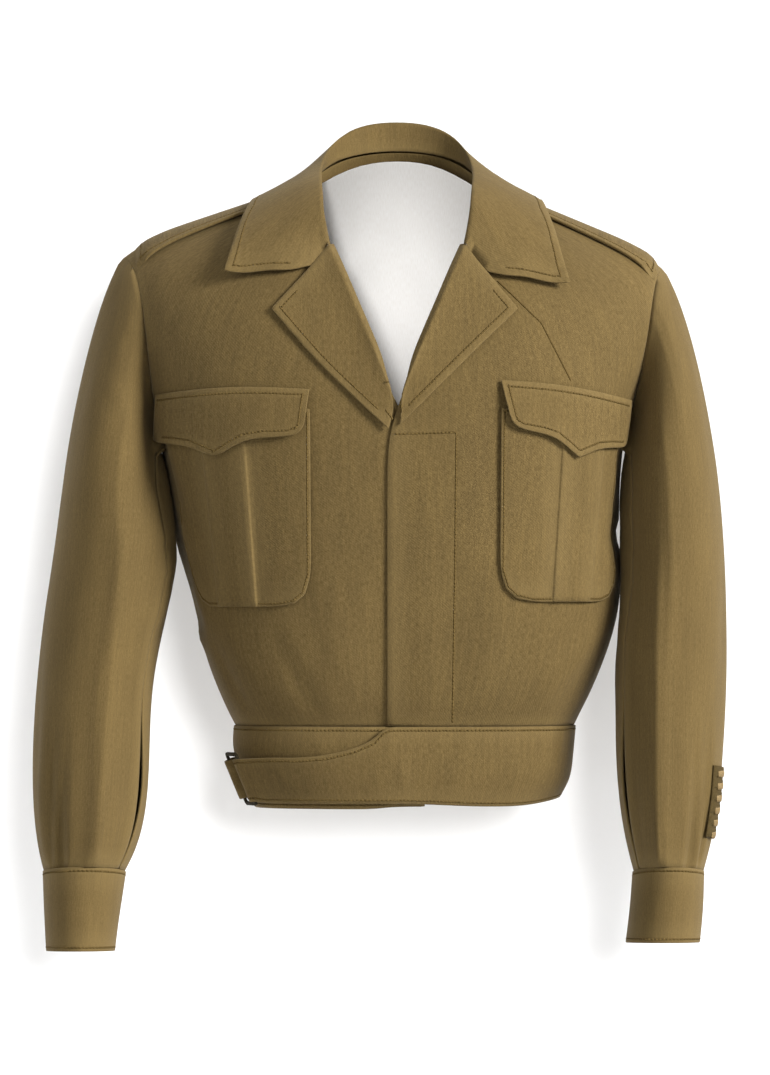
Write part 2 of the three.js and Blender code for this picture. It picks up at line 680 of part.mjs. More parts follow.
function backRows(levels, columns, lift, topDrop) {
  return levels.map((level) => {
    const row = [];
    for (let c = 0; c <= columns; c += 1) {
      const share = 1 - (2 * c) / columns;
      const side = share < 0 ? 'right' : 'left';
      const reach = level <= 0 ? 90 - SIDE_GAP_TURN : armholeTurn(side, level);
      const point = bodySkin('back', share * reach, level, lift);
      point.y += SEAM_GAP * smooth(0.9, 1, level);
      point.z -= topDrop * smooth(0.5, 1, level);
      row.push({ point, normal: bodyNormal('back', share * reach, level) });
    }
    return row;
  });
}

function backPanel() {
  return panelWall(backRows([...LOWER_LEVELS, ...UPPER_LEVELS], BACK_COLUMNS, 0, 0), CLOTH, 'back');
}

function backLining() {
  const rows = backRows(LINING_LEVELS, LINING_COLUMNS, -CLOTH - LINING_GAP, LINING_NECK_DROP);
  return panelWall(rows, LINING_CLOTH, 'back');
}

addPiece('front_right', frontPanel('right'), serge);
addPiece('front_left', frontPanel('left'), serge);
addPiece('back', backPanel(), serge);
addPiece('back_lining', backLining(), paleLining);

function lapelCurl(share) {
  return smooth(0.1, 0.4, share);
}

// A lapel starts inside the front's edge, rolls round it and lies on the front
function lapel(side) {
  const sign = side === 'right' ? -1 : 1;
  const shape = LAPELS[side];
  const outerEdge = (share) => {
    const rows = [
      { at: 0, x: shape.footX, z: shape.footZ },
      { at: 0.5, x: shape.midX, z: shape.midZ },
      { at: 1, x: shape.pointX, z: shape.pointZ },
    ];
    return { x: lookUp(rows, 'at', share, 'x'), z: lookUp(rows, 'at', share, 'z') };
  };
  const rows = [];
  for (let r = 0; r <= LAPEL_ROWS; r += 1) {
    const share = r / LAPEL_ROWS;
    const rollZ = lerp(V_BOTTOM_Z - LAPEL_FOOT_DROP, LAPEL_TOP_Z, share);
    const rollX = Math.max(lookUp(ROLL_ROWS, 'z', Math.max(rollZ, V_BOTTOM_Z), 'x'), LAPEL_FOOT_X);
    const outer = outerEdge(share);
    const row = [];
    const curl = lapelCurl(share);
    for (const across of LAPEL_ACROSS) {
      const x = lerp(rollX, outer.x, across);
      const z = lerp(rollZ, outer.z, across);
      const puff = LAPEL_ROLL_LIFT * curl * Math.exp(-across * LAPEL_PUFF_FALL);
      const lift = LAPEL_LIFT + TRIM_CLOTH + puff;
      row.push(onFront(sign * x, z, lift));
    }
    rows.push(row);
  }
  rows.forEach((row, r) => {
    const curl = lapelCurl(r / LAPEL_ROWS);
    const folded = row[0].clone();
    folded.x -= sign * lerp(LAPEL_FLAT_TURN_OUT, LAPEL_TURN_OUT, curl);
    folded.y += LAPEL_TURN_BACK * curl;
    row.unshift(folded);
  });
  const ordered = side === 'right' ? rows.map((row) => row.reverse()) : rows;
  return clothWall(ordered, TRIM_CLOTH);
}

addPiece('lapel_right', lapel('right'), sergeLight);
addPiece('lapel_left', lapel('left'), sergeLight);

// Moves a point out of the body where it would come closer to the cloth than the clearance
function clearOfBody(point, clearance) {
  const face = point.y < SHOULDER_SEAM_Y ? 'front' : 'back';
  if (point.z > topZ(face, point.x) || Math.abs(point.x) < NECK_HALF_WIDTH * 0.9) return point;
  const level = (point.z - ARMPIT_Z) / (topZ(face, point.x) - ARMPIT_Z);
  const skin = bodySkin(face, turnAtX(point.x, level, point.z), level, clearance);
  if (face === 'front') point.y = Math.min(point.y, skin.y);
  else point.y = Math.max(point.y, skin.y);
  return point;
}

// The collar: each station runs from the neck seam up the stand, over the roll and down the fall
function collar() {
  const half = COLLAR_ROWS.length - 1;
  const stations = [];
  for (let s = -half; s <= half; s += 1) {
    const row = COLLAR_ROWS[Math.abs(s)];
    const sign = s < 0 ? -1 : 1;
    const station = Math.abs(s) / half;
    const frontDrop = s > 0 ? COLLAR_LEFT_POINT_DROP * smooth(0.5, 1, station) : 0;
    const toPoint = ([x, y, z], drop) => new THREE.Vector3(sign * x, y, z - drop);
    const seam = toPoint(row.seam, 0);
    const roll = toPoint(row.roll, 0);
    const edge = toPoint(row.edge, frontDrop);
    const line = [];
    for (let i = 0; i < COLLAR_STAND_STEPS; i += 1) {
      line.push(seam.clone().lerp(roll, i / COLLAR_STAND_STEPS));
    }
    const away = edge.clone().sub(roll);
    const leanX = COLLAR_LEAN_X * sign * Math.sign(row.edge[0]);
    const leanY = COLLAR_LEAN_Y * Math.sign(row.edge[1]);
    const upward = new THREE.Vector3(leanX, leanY, 1).normalize();
    for (let i = 0; i <= COLLAR_FALL_STEPS; i += 1) {
      const across = i / COLLAR_FALL_STEPS;
      const point = roll.clone().addScaledVector(away, across);
      const fullness = COLLAR_PUFF * (1 - COLLAR_PUFF_LOSS * station);
      const puff = fullness * Math.sin(Math.PI * Math.sqrt(across));
      point.addScaledVector(upward, puff);
      const bend = lookUpStraight(COLLAR_END_BEND, 'across', across, 'drop');
      point.z -= bend * smooth(half - COLLAR_BEND_STATIONS, half, Math.abs(s));
      line.push(clearOfBody(point, COLLAR_CLEARANCE + CLOTH));
    }
    stations.push(line);
  }
  const rows = stations[0].map((point, i) => stations.map((line) => line[i]));
  return clothWall(rows.map((row) => row.slice().reverse()), CLOTH);
}

addPiece('collar', collar(), sergeLight);

// A point of a sleeve section, by its angle round the arm
function sectionPoint(rows, side, angle, z, lift) {
  const sign = side === 'right' ? -1 : 1;
  const inner = lookUp(rows, 'z', z, 'inner');
  const outer = lookUp(rows, 'z', z, 'outer');
  const middle = lookUp(rows, 'z', z, 'y');
  const halfDepth = lookUp(rows, 'z', z, 'halfDepth') + lift;
  const tilt = Math.tan(degrees(lookUp(rows, 'z', z, 'tilt')));
  const halfSpan = (outer - inner) / 2 + lift;
  const away = Math.cos(degrees(angle));
  const ahead = Math.sin(degrees(angle));
  const offsetY = -halfDepth * ahead;
  const x = sign * ((outer + inner) / 2 + halfSpan * away);
  return new THREE.Vector3(x, middle + offsetY, z - offsetY * tilt);
}

function bump(value, centre, spread) {
  const distance = (value - centre) / spread;
  return Math.exp(-distance * distance);
}

// How far the sleeve's cloth stands out at its pressed crease and sinks at its cuff pleat
function sleeveRelief(angle, z) {
  const crease = SLEEVE_CREASE_RISE * bump(angle, SLEEVE_CREASE_ANGLE, SLEEVE_CREASE_SPREAD);
  const pleat = CUFF_PLEAT_DEPTH * bump(angle, CUFF_PLEAT_ANGLE, CUFF_PLEAT_SPREAD);
  const started = smooth(ARMPIT_Z, SLEEVE_CREASE_FULL_Z, z);
  const creaseEnd = CUFF_SEAM_Z - SLEEVE_CREASE_FADE_BOTTOM;
  const faded = smooth(creaseEnd, CUFF_SEAM_Z + SLEEVE_CREASE_FADE_TOP, z);
  const opened = smooth(CUFF_PLEAT_TOP_Z, CUFF_SEAM_Z + CUFF_PLEAT_FULL_ABOVE, z);
  return crease * started * faded - pleat * opened;
}

function armholePoint(side, angle) {
  const rise = (1 + Math.cos(degrees(angle))) / 2;
  const face = Math.sin(degrees(angle)) >= 0 ? 'front' : 'back';
  const sign = side === 'right' ? -1 : 1;
  const turn = sign * Math.min(armholeTurn(side, rise), 90 - SIDE_GAP_TURN);
  const point = bodyPoint(face, turn, rise);
  point.x += sign * ARMHOLE_EASE;
  return point;
}

// A point of the sleeve: the head runs from the armhole to the first section, then the tube goes on
function sleevePoint(side, angle, down) {
  const rows = side === 'right' ? SLEEVE_ROWS_RIGHT : SLEEVE_ROWS_LEFT;
  const sign = side === 'right' ? -1 : 1;
  if (down >= 1) {
    const z = lerp(rows[0].z, rows[rows.length - 1].z, down - 1);
    return sectionPoint(rows, side, angle, z, sleeveRelief(angle, z));
  }
  const height = (1 + Math.cos(degrees(angle))) / 2;
  const ahead = Math.sin(degrees(angle));
  const start = armholePoint(side, angle);
  const end = sectionPoint(rows, side, angle, rows[0].z, sleeveRelief(angle, rows[0].z));
  const leave = new THREE.Vector3(
    sign * (HEAD_LEAVE.out + HEAD_LEAVE.outRise * height ** HEAD_LEAVE.outPower),
    -HEAD_LEAVE.ahead * ahead,
    -(HEAD_LEAVE.down + HEAD_LEAVE.downRise * height),
  );
  const arrive = new THREE.Vector3(
    sign * HEAD_ARRIVE.outRise * height,
    -HEAD_ARRIVE.ahead * ahead,
    -(HEAD_ARRIVE.down + HEAD_ARRIVE.downRise * height),
  );
  const s2 = down * down;
  const s3 = s2 * down;
  return start.multiplyScalar(2 * s3 - 3 * s2 + 1)
    .addScaledVector(leave, s3 - 2 * s2 + down)
    .addScaledVector(end, 3 * s2 - 2 * s3)
    .addScaledVector(arrive, s3 - s2);
}

const TUBE_STEPS = [0, 0.11, 0.22, 0.34, 0.46, 0.57, 0.68, 0.79, 0.88, 0.95, 1];

function sleeveDowns() {
  const downs = [];
  for (let i = 0; i < SLEEVE_HEAD_ROWS; i += 1) downs.push(i / SLEEVE_HEAD_ROWS);
  for (const step of TUBE_STEPS) downs.push(1 + step);
  return downs;
}

// Opening of the vent, in millimetres, at each height
function ventGap(z) {
  const open = smooth(VENT_TOP_Z, VENT_TOP_Z - VENT_RUN, z);
  return VENT_WIDTH * open * (1 - VENT_CLOSED_SHARE * smooth(VENT_CLOSING_Z, CUFF_SEAM_Z, z));
}

function sleeveNormal(side, angle, down) {
  const stepAngle = 1;
  const stepDown = 0.01;
  const middle = THREE.MathUtils.clamp(down, stepDown, 2 - stepDown);
  const ahead = sleevePoint(side, angle + stepAngle, down);
  const behind = sleevePoint(side, angle - stepAngle, down);
  const above = sleevePoint(side, angle, middle - stepDown);
  const below = sleevePoint(side, angle, middle + stepDown);
  const normal = ahead.sub(behind).cross(above.sub(below)).normalize();
  return side === 'right' ? normal : normal.negate();
}

function sleeveStrip(side, fromAngle, toAngle, columns, isUnder) {
  const rows = sleeveDowns().reverse().map((down) => {
    const z = lerp(SLEEVE_ROWS_RIGHT[0].z, CUFF_SEAM_Z, Math.max(down - 1, 0));
    const gapTurn = THREE.MathUtils.radToDeg(SEAM_GAP / SLEEVE_RADIUS);
    const ventTurn = THREE.MathUtils.radToDeg(ventGap(z) / SLEEVE_RADIUS);
    const start = fromAngle + gapTurn + (isUnder ? ventTurn : 0);
    const row = [];
    for (let c = 0; c <= columns; c += 1) {
      const angle = lerp(start, toAngle - gapTurn, c / columns);
      row.push({ point: sleevePoint(side, angle, down), normal: sleeveNormal(side, angle, down) });
    }
    return side === 'right' ? row : row.reverse();
  });
  const outer = rows.map((row) => row.map(({ point }) => point));
  return clothWall(outer, CLOTH, rows.map((row) => row.map(({ normal }) => normal)));
}

for (const side of ['right', 'left']) {
  const backSeam = SLEEVE_BACK_SEAM - 360;
  const top = sleeveStrip(side, backSeam, SLEEVE_FRONT_SEAM, SLEEVE_COLUMNS_TOP, false);
  const under = sleeveStrip(side, SLEEVE_FRONT_SEAM, SLEEVE_BACK_SEAM, SLEEVE_COLUMNS_UNDER, true);
  addPiece(`sleeve_top_${side}`, top, serge);
  addPiece(`sleeve_under_${side}`, under, serge);
}

// A cuff is one strip round the wrist whose end laps over its start
function cuffPoint(side, angle, z, lift) {
  const rows = side === 'right' ? CUFF_ROWS_RIGHT : CUFF_ROWS_LEFT;
  const lapEnd = CUFF_START_ANGLE + 360;
  const lapped = smooth(lapEnd - CUFF_LAP_START, lapEnd - CUFF_LAP_FULL, angle);
  const lap = (CLOTH + 2 * SEAM_GAP) * lapped;
  return sectionPoint(rows, side, angle, z, lap + lift);
}

function cuff(side) {
  const rows = side === 'right' ? CUFF_ROWS_RIGHT : CUFF_ROWS_LEFT;
  const endAngle = CUFF_START_ANGLE + 360 + CUFF_OVERLAP_ANGLE;
  const sheet = (lift) => gridOf(CUFF_ROW_STEPS, CUFF_COLUMNS, (up, across) => {
    const z = lerp(rows[rows.length - 1].z, rows[0].z, up);
    const share = side === 'right' ? across : 1 - across;
    return cuffPoint(side, lerp(CUFF_START_ANGLE, endAngle, share), z, lift);
  });
  return solidBetween(sheet(0), sheet(-CLOTH));
}

function cuffButton(side) {
  const rows = side === 'right' ? CUFF_ROWS_RIGHT : CUFF_ROWS_LEFT;
  const angle = CUFF_START_ANGLE + 360 + CUFF_OVERLAP_ANGLE / 2;
  const z = (rows[0].z + rows[rows.length - 1].z) / 2;
  const step = CUFF_BUTTON_TILT_STEP;
  const spot = cuffPoint(side, angle, z, 0);
  const around = cuffPoint(side, angle + step, z, 0).sub(cuffPoint(side, angle - step, z, 0));
  const down = cuffPoint(side, angle, z - step, 0).sub(cuffPoint(side, angle, z + step, 0));
  const outward = new THREE.Vector3().crossVectors(around, down).normalize();
  if (outward.dot(cuffPoint(side, angle, z, 1).sub(spot)) < 0) outward.negate();
  const lift = CUFF_BUTTON_SHANK + CUFF_BUTTON_THICKNESS / 2;
  const centre = spot.clone().addScaledVector(outward, lift);
  const disc = new THREE.CylinderGeometry(
    CUFF_BUTTON_RADIUS, CUFF_BUTTON_RADIUS, CUFF_BUTTON_THICKNESS, 20,
  );
  const mesh = addPiece(`cuff_button_${side}`, disc, buttonPlastic);
  mesh.position.copy(centre);
  mesh.quaternion.setFromUnitVectors(new THREE.Vector3(0, 1, 0), outward);
}

for (const side of ['right', 'left']) {
  addPiece(`cuff_${side}`, cuff(side), serge);
  cuffButton(side);
}

// Level on a face of the body at which the shoulder is this far from its seam
function levelAtReach(face, x, reach) {
  let low = 0.4;
  let high = 1;
  for (let i = 0; i < 24; i += 1) {
    const middle = (low + high) / 2;
    const distance = Math.abs(bodyPoint(face, turnAtX(x, middle, 0), middle).y - SHOULDER_SEAM_Y);
    if (distance > reach) low = middle;
    else high = middle;
  }
  return low;
}

// A spot on top of the shoulder, at x and at a distance in front of or behind its seam
function onShoulder(x, reach, lift) {
  const face = reach < 0 ? 'front' : 'back';
  const level = Math.abs(reach) < 1 ? 1 : levelAtReach(face, x, Math.abs(reach));
  const turn = turnAtX(x, level, 0);
  if (level < 1) return bodySkin(face, turn, level, lift);
  return bodySkin('front', turn, 1, lift).add(bodySkin('back', turn, 1, lift)).multiplyScalar(0.5);
}

function shoulderStrap(side) {
  const sign = side === 'right' ? -1 : 1;
  const sheet = (lift) => STRAP_ACROSS.map((reach) => {
    const row = [];
    for (let i = 0; i <= STRAP_STEPS; i += 1) {
      const along = side === 'right' ? 1 - i / STRAP_STEPS : i / STRAP_STEPS;
      const x = lerp(STRAP_INNER_X, STRAP_OUTER_X, along);
      const half = lerp(STRAP_HALF_WIDTH_INNER, STRAP_HALF_WIDTH_OUTER, along);
      row.push(onShoulder(sign * x, reach * half, lift));
    }
    return row;
  });
  return solidBetween(sheet(STRAP_LIFT + STRAP_THICKNESS), sheet(STRAP_LIFT));
}

addPiece('shoulder_strap_right', shoulderStrap('right'), sergeLight);
addPiece('shoulder_strap_left', shoulderStrap('left'), sergeLight);

// A patch pocket: columns run from its inner edge over the box pleat to its outer edge
function pocket(side) {
  const sign = side === 'right' ? -1 : 1;
  const shape = POCKETS[side];
  const turnAt = (x, z) => frontSpot(x, z).turn;
  const columnsAt = (z) => {
    const down = (POCKET_TOP_Z - z) / (POCKET_TOP_Z - shape.bottomZ);
    const edge = turnAt(lerp(shape.innerTopX, shape.innerBottomX, down), z);
    const pleatIn = turnAt(lerp(shape.pleatInnerTopX, shape.pleatInnerBottomX, down), z);
    const pleatOut = turnAt(lerp(shape.pleatOuterTopX, shape.pleatOuterBottomX, down), z);
    const rim = sign * POCKET_OUTER_TURN;
    const columns = [];
    for (const share of POCKET_INNER_SHARES) {
      columns.push({ turn: lerp(edge, pleatIn, share), raised: 0, field: share });
    }
    columns.push({ turn: pleatIn - sign * PLEAT_STEP_TURN, raised: 0, field: 1 });
    columns.push({ turn: pleatIn + sign * PLEAT_STEP_TURN, raised: 1, field: 0 });
    columns.push({ turn: (pleatIn + pleatOut) / 2, raised: 1, field: 0 });
    columns.push({ turn: pleatOut - sign * PLEAT_STEP_TURN, raised: 1, field: 0 });
    columns.push({ turn: pleatOut + sign * PLEAT_STEP_TURN, raised: 0, field: 1 });
    for (const share of POCKET_OUTER_SHARES) {
      columns.push({ turn: lerp(pleatOut, rim, share), raised: 0, field: 1 - share });
    }
    return columns;
  };
  const rounding = (columns, c) => {
    const reach = (other) => Math.abs(degrees(columns[c].turn - other.turn)) * POCKET_MEAN_RADIUS;
    const distance = Math.min(reach(columns[0]), reach(columns[columns.length - 1]), POCKET_CORNER);
    const inside = (POCKET_CORNER - distance) / POCKET_CORNER;
    return POCKET_CORNER * (1 - Math.sqrt(Math.max(1 - inside * inside, 0)));
  };
  const low = columnsAt(shape.bottomZ);
  const outer = [];
  const inner = [];
  for (let r = 0; r <= POCKET_ROWS; r += 1) {
    const outerRow = [];
    const innerRow = [];
    for (let c = 0; c < low.length; c += 1) {
      const bottom = shape.bottomZ + rounding(low, c);
      const z = lerp(bottom, POCKET_TOP_Z, r / POCKET_ROWS);
      const column = columnsAt(z)[c];
      const { level } = frontSpot(sign * POCKET_MIDDLE_X, z);
      const opened = smooth(POCKET_TOP_Z + POCKET_OPENED_FROM, POCKET_TOP_Z - POCKET_OPENED_TO, z);
      const puff = POCKET_PUFF * Math.sin(Math.PI * column.field) * opened;
      const top = POCKET_THICKNESS + puff + PLEAT_RISE * column.raised * opened;
      outerRow.push(bodySkin('front', column.turn, level, POCKET_LIFT + top));
      innerRow.push(bodySkin('front', column.turn, level, POCKET_LIFT));
    }
    outer.push(side === 'right' ? outerRow.reverse() : outerRow);
    inner.push(side === 'right' ? innerRow.reverse() : innerRow);
  }
  return solidBetween(outer, inner);
}

function pocketFlap(side) {
  const shape = POCKETS[side].flap;
  const sheet = (depth) => {
    const rows = [];
    for (let r = FLAP_ROWS; r >= 0; r -= 1) {
      const down = r / FLAP_ROWS;
      const row = FLAP_DROPS.map(({ across, drop }) => {
        const arch = shape.arch * Math.sin(Math.PI * across);
        const topZAt = lerp(shape.innerZ, shape.outerZ, across) + arch;
        const innerX = lerp(shape.innerX, shape.innerLowX, down);
        const outerX = lerp(shape.outerX, shape.outerLowX, down);
        const lift = lerp(FLAP_TOP_LIFT, FLAP_EDGE_LIFT, down ** FLAP_LIFT_POWER) - depth;
        return onFront(lerp(innerX, outerX, across), topZAt - drop * down, lift);
      });
      rows.push(side === 'right' ? row.reverse() : row);
    }
    return rows;
  };
  return solidBetween(sheet(0), sheet(TRIM_CLOTH));
}

for (const side of ['right', 'left']) {
  addPiece(`pocket_${side}`, pocket(side), serge);
  addPiece(`flap_${side}`, pocketFlap(side), serge);
}

// A point of the waistband, at a turn from the centre front all the way round either side
function bandPoint(turn, z, lift) {
  const atFront = Math.abs(turn) <= 90;
  const facing = atFront ? turn : Math.sign(turn) * (180 - Math.abs(turn));
  const sine = Math.sin(degrees(facing));
  const side = sideOf(turn);
  const width = lookUp(BAND_ROWS, 'z', z, side) + lift;
  const depth = lookUp(BAND_ROWS, 'z', z, atFront ? 'front' : 'back') + lift;
  const bulge = Math.max(1 - Math.abs(sine) ** TORSO_POWER, 0) ** (1 / TORSO_POWER);
  return new THREE.Vector3(sine * width, SIDE_SEAM_Y + (atFront ? -1 : 1) * depth * bulge, z);
}

function bandTurn(x, z) {
  const width = lookUp(BAND_ROWS, 'z', z, sideOf(x));
  return THREE.MathUtils.radToDeg(Math.asin(THREE.MathUtils.clamp(x / width, -1, 1)));
}

function hemRise(facing) {
  return BAND_SIDE_LIFT * smooth(BAND_SIDE_LIFT_TURN, 90, facing);
}

function bandBack() {
  const edge = 90 - SIDE_GAP_TURN;
  const sheet = (lift) => gridOf(BAND_ROW_STEPS, BAND_BACK_COLUMNS, (up, across) => {
    const facing = lerp(edge, -edge, across);
    const turn = facing < 0 ? -180 - facing : 180 - facing;
    const z = lerp(BAND_HEM_Z + hemRise(facing), BAND_ROWS[0].z, up);
    return bandPoint(turn, z, lift);
  });
  return solidBetween(sheet(0), sheet(-BAND_THICKNESS));
}

function bandRight() {
  const edge = -90 + SIDE_GAP_TURN;
  const sheet = (lift) => gridOf(BAND_ROW_STEPS, BAND_FRONT_COLUMNS, (up, across) => {
    const drop = BAND_UNDER_DROP * smooth(BAND_DROP_END, BAND_DROP_FULL, across);
    const z = lerp(BAND_HEM_Z - drop, BAND_ROWS[0].z, up);
    const turn = lerp(edge, bandTurn(BAND_UNDERLAP_X, z), across);
    const x = bandPoint(turn, z, 0).x;
    const sunk = FASTENING_LIFT * smooth(UNDER_BAND_RISE_X, UNDER_BAND_SUNK_X, x);
    return bandPoint(turn, z, lift - sunk);
  });
  return solidBetween(sheet(0), sheet(-BAND_THICKNESS));
}

// The buckle lies flat at the side of the band: its middle and its three directions
function buckleFrame() {
  const centre = bandPoint(BUCKLE_TURN, BUCKLE_Z, BUCKLE_LIFT);
  const above = bandPoint(BUCKLE_TURN, BUCKLE_Z + BUCKLE_SLOPE_HEIGHT, 0);
  const below = bandPoint(BUCKLE_TURN, BUCKLE_Z - BUCKLE_SLOPE_HEIGHT, 0);
  const ahead = bandPoint(BUCKLE_TURN + BUCKLE_SLOPE_TURN, BUCKLE_Z, 0);
  const behind = bandPoint(BUCKLE_TURN - BUCKLE_SLOPE_TURN, BUCKLE_Z, 0);
  const along = ahead.sub(behind).normalize();
  const out = along.clone().cross(above.sub(below)).normalize();
  return { centre, along, up: out.clone().cross(along).normalize(), out };
}

function onBuckle(along, up, out) {
  const frame = buckleFrame();
  return frame.centre.clone().addScaledVector(frame.along, along)
    .addScaledVector(frame.up, up).addScaledVector(frame.out, out);
}

// A point of the cloth over a bar. end is 1 at the near bar and -1 at the far bar.
function wrapPoint(wrap, end, up, isInner) {
  if (isInner) return onBuckle(end * wrap.inAlong, up, wrap.inRise);
  return onBuckle(end * wrap.outAlong, up, wrap.outRise);
}

// The left band runs on past the centre as the strap, which ends over the buckle's near bar
function bandLeft() {
  const edge = 90 - SIDE_GAP_TURN;
  const liftAt = (x) => FASTENING_LIFT * smooth(FASTENING_RISE_X, FASTENING_FULL_X, x);
  const halfHeight = (FASTENING_ROWS[FASTENING_ROWS.length - 1].z - FASTENING_HEM_Z) / 2;
  const sheet = (depth) => {
    const rows = [];
    for (let r = 0; r <= BAND_ROW_STEPS; r += 1) {
      const up = r / BAND_ROW_STEPS;
      const row = [];
      for (const wrap of BAR_WRAP) {
        row.push(wrapPoint(wrap, 1, lerp(-halfHeight, halfHeight, up), depth > 0));
      }
      for (const x of FASTENING_COLUMNS_X) {
        const top = lookUpStraight(FASTENING_ROWS, 'x', x, 'z');
        const z = lerp(FASTENING_HEM_Z, top, up);
        row.push(bandPoint(bandTurn(x, z), z, liftAt(x) - depth));
      }
      for (let c = 0; c <= BAND_LEFT_COLUMNS; c += 1) {
        const share = c / BAND_LEFT_COLUMNS;
        const hem = lerp(FASTENING_HEM_Z, BAND_HEM_Z, smooth(0, BAND_HEM_BLEND, share));
        const z = lerp(hem + hemRise(share * edge), BAND_ROWS[0].z, up);
        const turn = lerp(bandTurn(BAND_LEFT_START_X, z), edge, share);
        const lift = liftAt(bandPoint(turn, z, 0).x);
        row.push(bandPoint(turn, z, lift - depth));
      }
      rows.push(row);
    }
    return rows;
  };
  return solidBetween(sheet(0), sheet(BAND_THICKNESS));
}

addPiece('waistband_back', bandBack(), serge);
addPiece('waistband_right', bandRight(), serge);
addPiece('waistband_left', bandLeft(), sergeLight);

// The short tab holds the buckle's far bar to the side of the band
function buckleTab() {
  const sheet = (depth) => [-1, 0, 1].map((height) => {
    const up = height * TAB_HALF_HEIGHT;
    const anchored = TAB_ANCHOR_TURNS.map((turn) => (
      bandPoint(turn, BUCKLE_Z + up, TAB_ANCHOR_LIFT - depth)
    ));
    const wrapped = BAR_WRAP.map((wrap) => wrapPoint(wrap, -1, up, depth > 0)).reverse();
    return [...anchored, ...wrapped];
  });
  return solidBetween(sheet(0), sheet(TAB_THICKNESS));
}

function roundedRectangle(target, halfX, halfY, radius) {
  target.moveTo(-halfX + radius, -halfY);
  target.lineTo(halfX - radius, -halfY);
  target.absarc(halfX - radius, -halfY + radius, radius, -Math.PI / 2, 0);
  target.lineTo(halfX, halfY - radius);
  target.absarc(halfX - radius, halfY - radius, radius, 0, Math.PI / 2);
  target.lineTo(-halfX + radius, halfY);
  target.absarc(-halfX + radius, halfY - radius, radius, Math.PI / 2, Math.PI);
  target.lineTo(-halfX, -halfY + radius);
  target.absarc(-halfX + radius, -halfY + radius, radius, Math.PI, 1.5 * Math.PI);
  return target;
}

function buckle() {
  const halfLength = BUCKLE_LENGTH / 2;
  const halfHeight = BUCKLE_HEIGHT / 2;
  const outline = roundedRectangle(new THREE.Shape(), halfLength, halfHeight, BUCKLE_CORNER);
  outline.holes.push(roundedRectangle(
    new THREE.Path(), halfLength - BUCKLE_BAR, halfHeight - BUCKLE_BAR, BUCKLE_WINDOW_CORNER,
  ));
  const geometry = new THREE.ExtrudeGeometry(outline, {
    depth: BUCKLE_THICKNESS, bevelEnabled: false, curveSegments: 4,
  });
  geometry.translate(0, 0, -BUCKLE_THICKNESS / 2);
  const frame = buckleFrame();
  const mesh = addPiece('buckle', geometry, darkMetal);
  mesh.quaternion.setFromRotationMatrix(
    new THREE.Matrix4().makeBasis(frame.along, frame.up, frame.out),
  );
  mesh.position.copy(frame.centre);
}

addPiece('buckle_tab', buckleTab(), serge);
buckle();

// The patch on the left forearm, with its bars raised from a plain base
function serviceBars() {
  const steps = [0, 0.12, 0.5, 0.88, 1];
  const rows = [];
  for (let bar = 0; bar < BARS_COUNT; bar += 1) {
    const foot = bar / BARS_COUNT;
    const barShare = 1 / BARS_COUNT;
    rows.push({ up: foot + 0.06 * barShare, raised: 0 });
    rows.push({ up: foot + 0.24 * barShare, raised: 1 });
    rows.push({ up: foot + 0.76 * barShare, raised: 1 });
    rows.push({ up: foot + 0.94 * barShare, raised: 0 });
  }
  const sheet = (base, rise) => rows.map(({ up, raised }) => steps.map((step) => {
    const z = lerp(BARS_BOTTOM_Z, BARS_TOP_Z, up);
    const angle = lerp(BARS_FRONT_ANGLE, BARS_REAR_ANGLE, step);
    const onBar = step > 0 && step < 1 ? raised : 0;
    const lift = sleeveRelief(angle, z) + base + rise * onBar;
    return sectionPoint(SLEEVE_ROWS_LEFT, 'left', angle, z, lift);
  }));
  return solidBetween(sheet(BARS_LIFT + BARS_BASE, BARS_RISE), sheet(BARS_LIFT, 0));
}

addPiece('service_bars', serviceBars(), embroidery);

export default jacket;
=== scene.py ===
import json
import math

import bmesh
import bpy
from mathutils import Matrix, Vector
from mathutils.bvhtree import BVHTree
from mathutils.kdtree import KDTree

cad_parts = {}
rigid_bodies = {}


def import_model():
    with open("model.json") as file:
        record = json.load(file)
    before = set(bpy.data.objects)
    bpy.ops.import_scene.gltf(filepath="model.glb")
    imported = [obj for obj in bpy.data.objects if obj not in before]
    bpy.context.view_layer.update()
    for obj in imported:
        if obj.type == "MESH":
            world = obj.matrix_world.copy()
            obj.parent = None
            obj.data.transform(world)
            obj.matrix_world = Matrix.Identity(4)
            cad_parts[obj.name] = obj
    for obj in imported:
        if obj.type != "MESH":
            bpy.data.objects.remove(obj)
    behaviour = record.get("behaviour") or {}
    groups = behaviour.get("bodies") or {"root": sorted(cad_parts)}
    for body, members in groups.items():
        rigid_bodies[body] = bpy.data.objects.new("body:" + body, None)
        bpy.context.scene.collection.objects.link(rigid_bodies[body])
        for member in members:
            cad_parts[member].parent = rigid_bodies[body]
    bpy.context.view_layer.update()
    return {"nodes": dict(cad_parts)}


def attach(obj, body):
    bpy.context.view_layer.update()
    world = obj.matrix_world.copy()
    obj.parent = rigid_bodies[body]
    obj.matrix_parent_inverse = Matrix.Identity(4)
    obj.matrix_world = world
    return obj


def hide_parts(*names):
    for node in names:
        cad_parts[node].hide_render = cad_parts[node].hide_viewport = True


# Waist-length uniform jacket in fine olive-brown wool serge, filled out as it is worn.
# Metres. +Z is up, -Y is the front and +X is the wearer's left.

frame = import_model()

MM = 0.001

# Shells: the cloth's mesh is made finer, its cut edges are rounded a little and its seams closed
REFINE = 2
MERGE_DISTANCE = 0.01 * MM
QUAD_ANGLE = math.radians(35)
RIM_ANGLE = math.radians(50)
RIM_WIDTH = 3.2 * MM
RIM_CREASE = 0.55
FOLDED = ("pocket", "sleeve")
FOLD_ANGLES = (math.radians(16), math.radians(32))
SEAM_CLOSE = 0.22 * MM
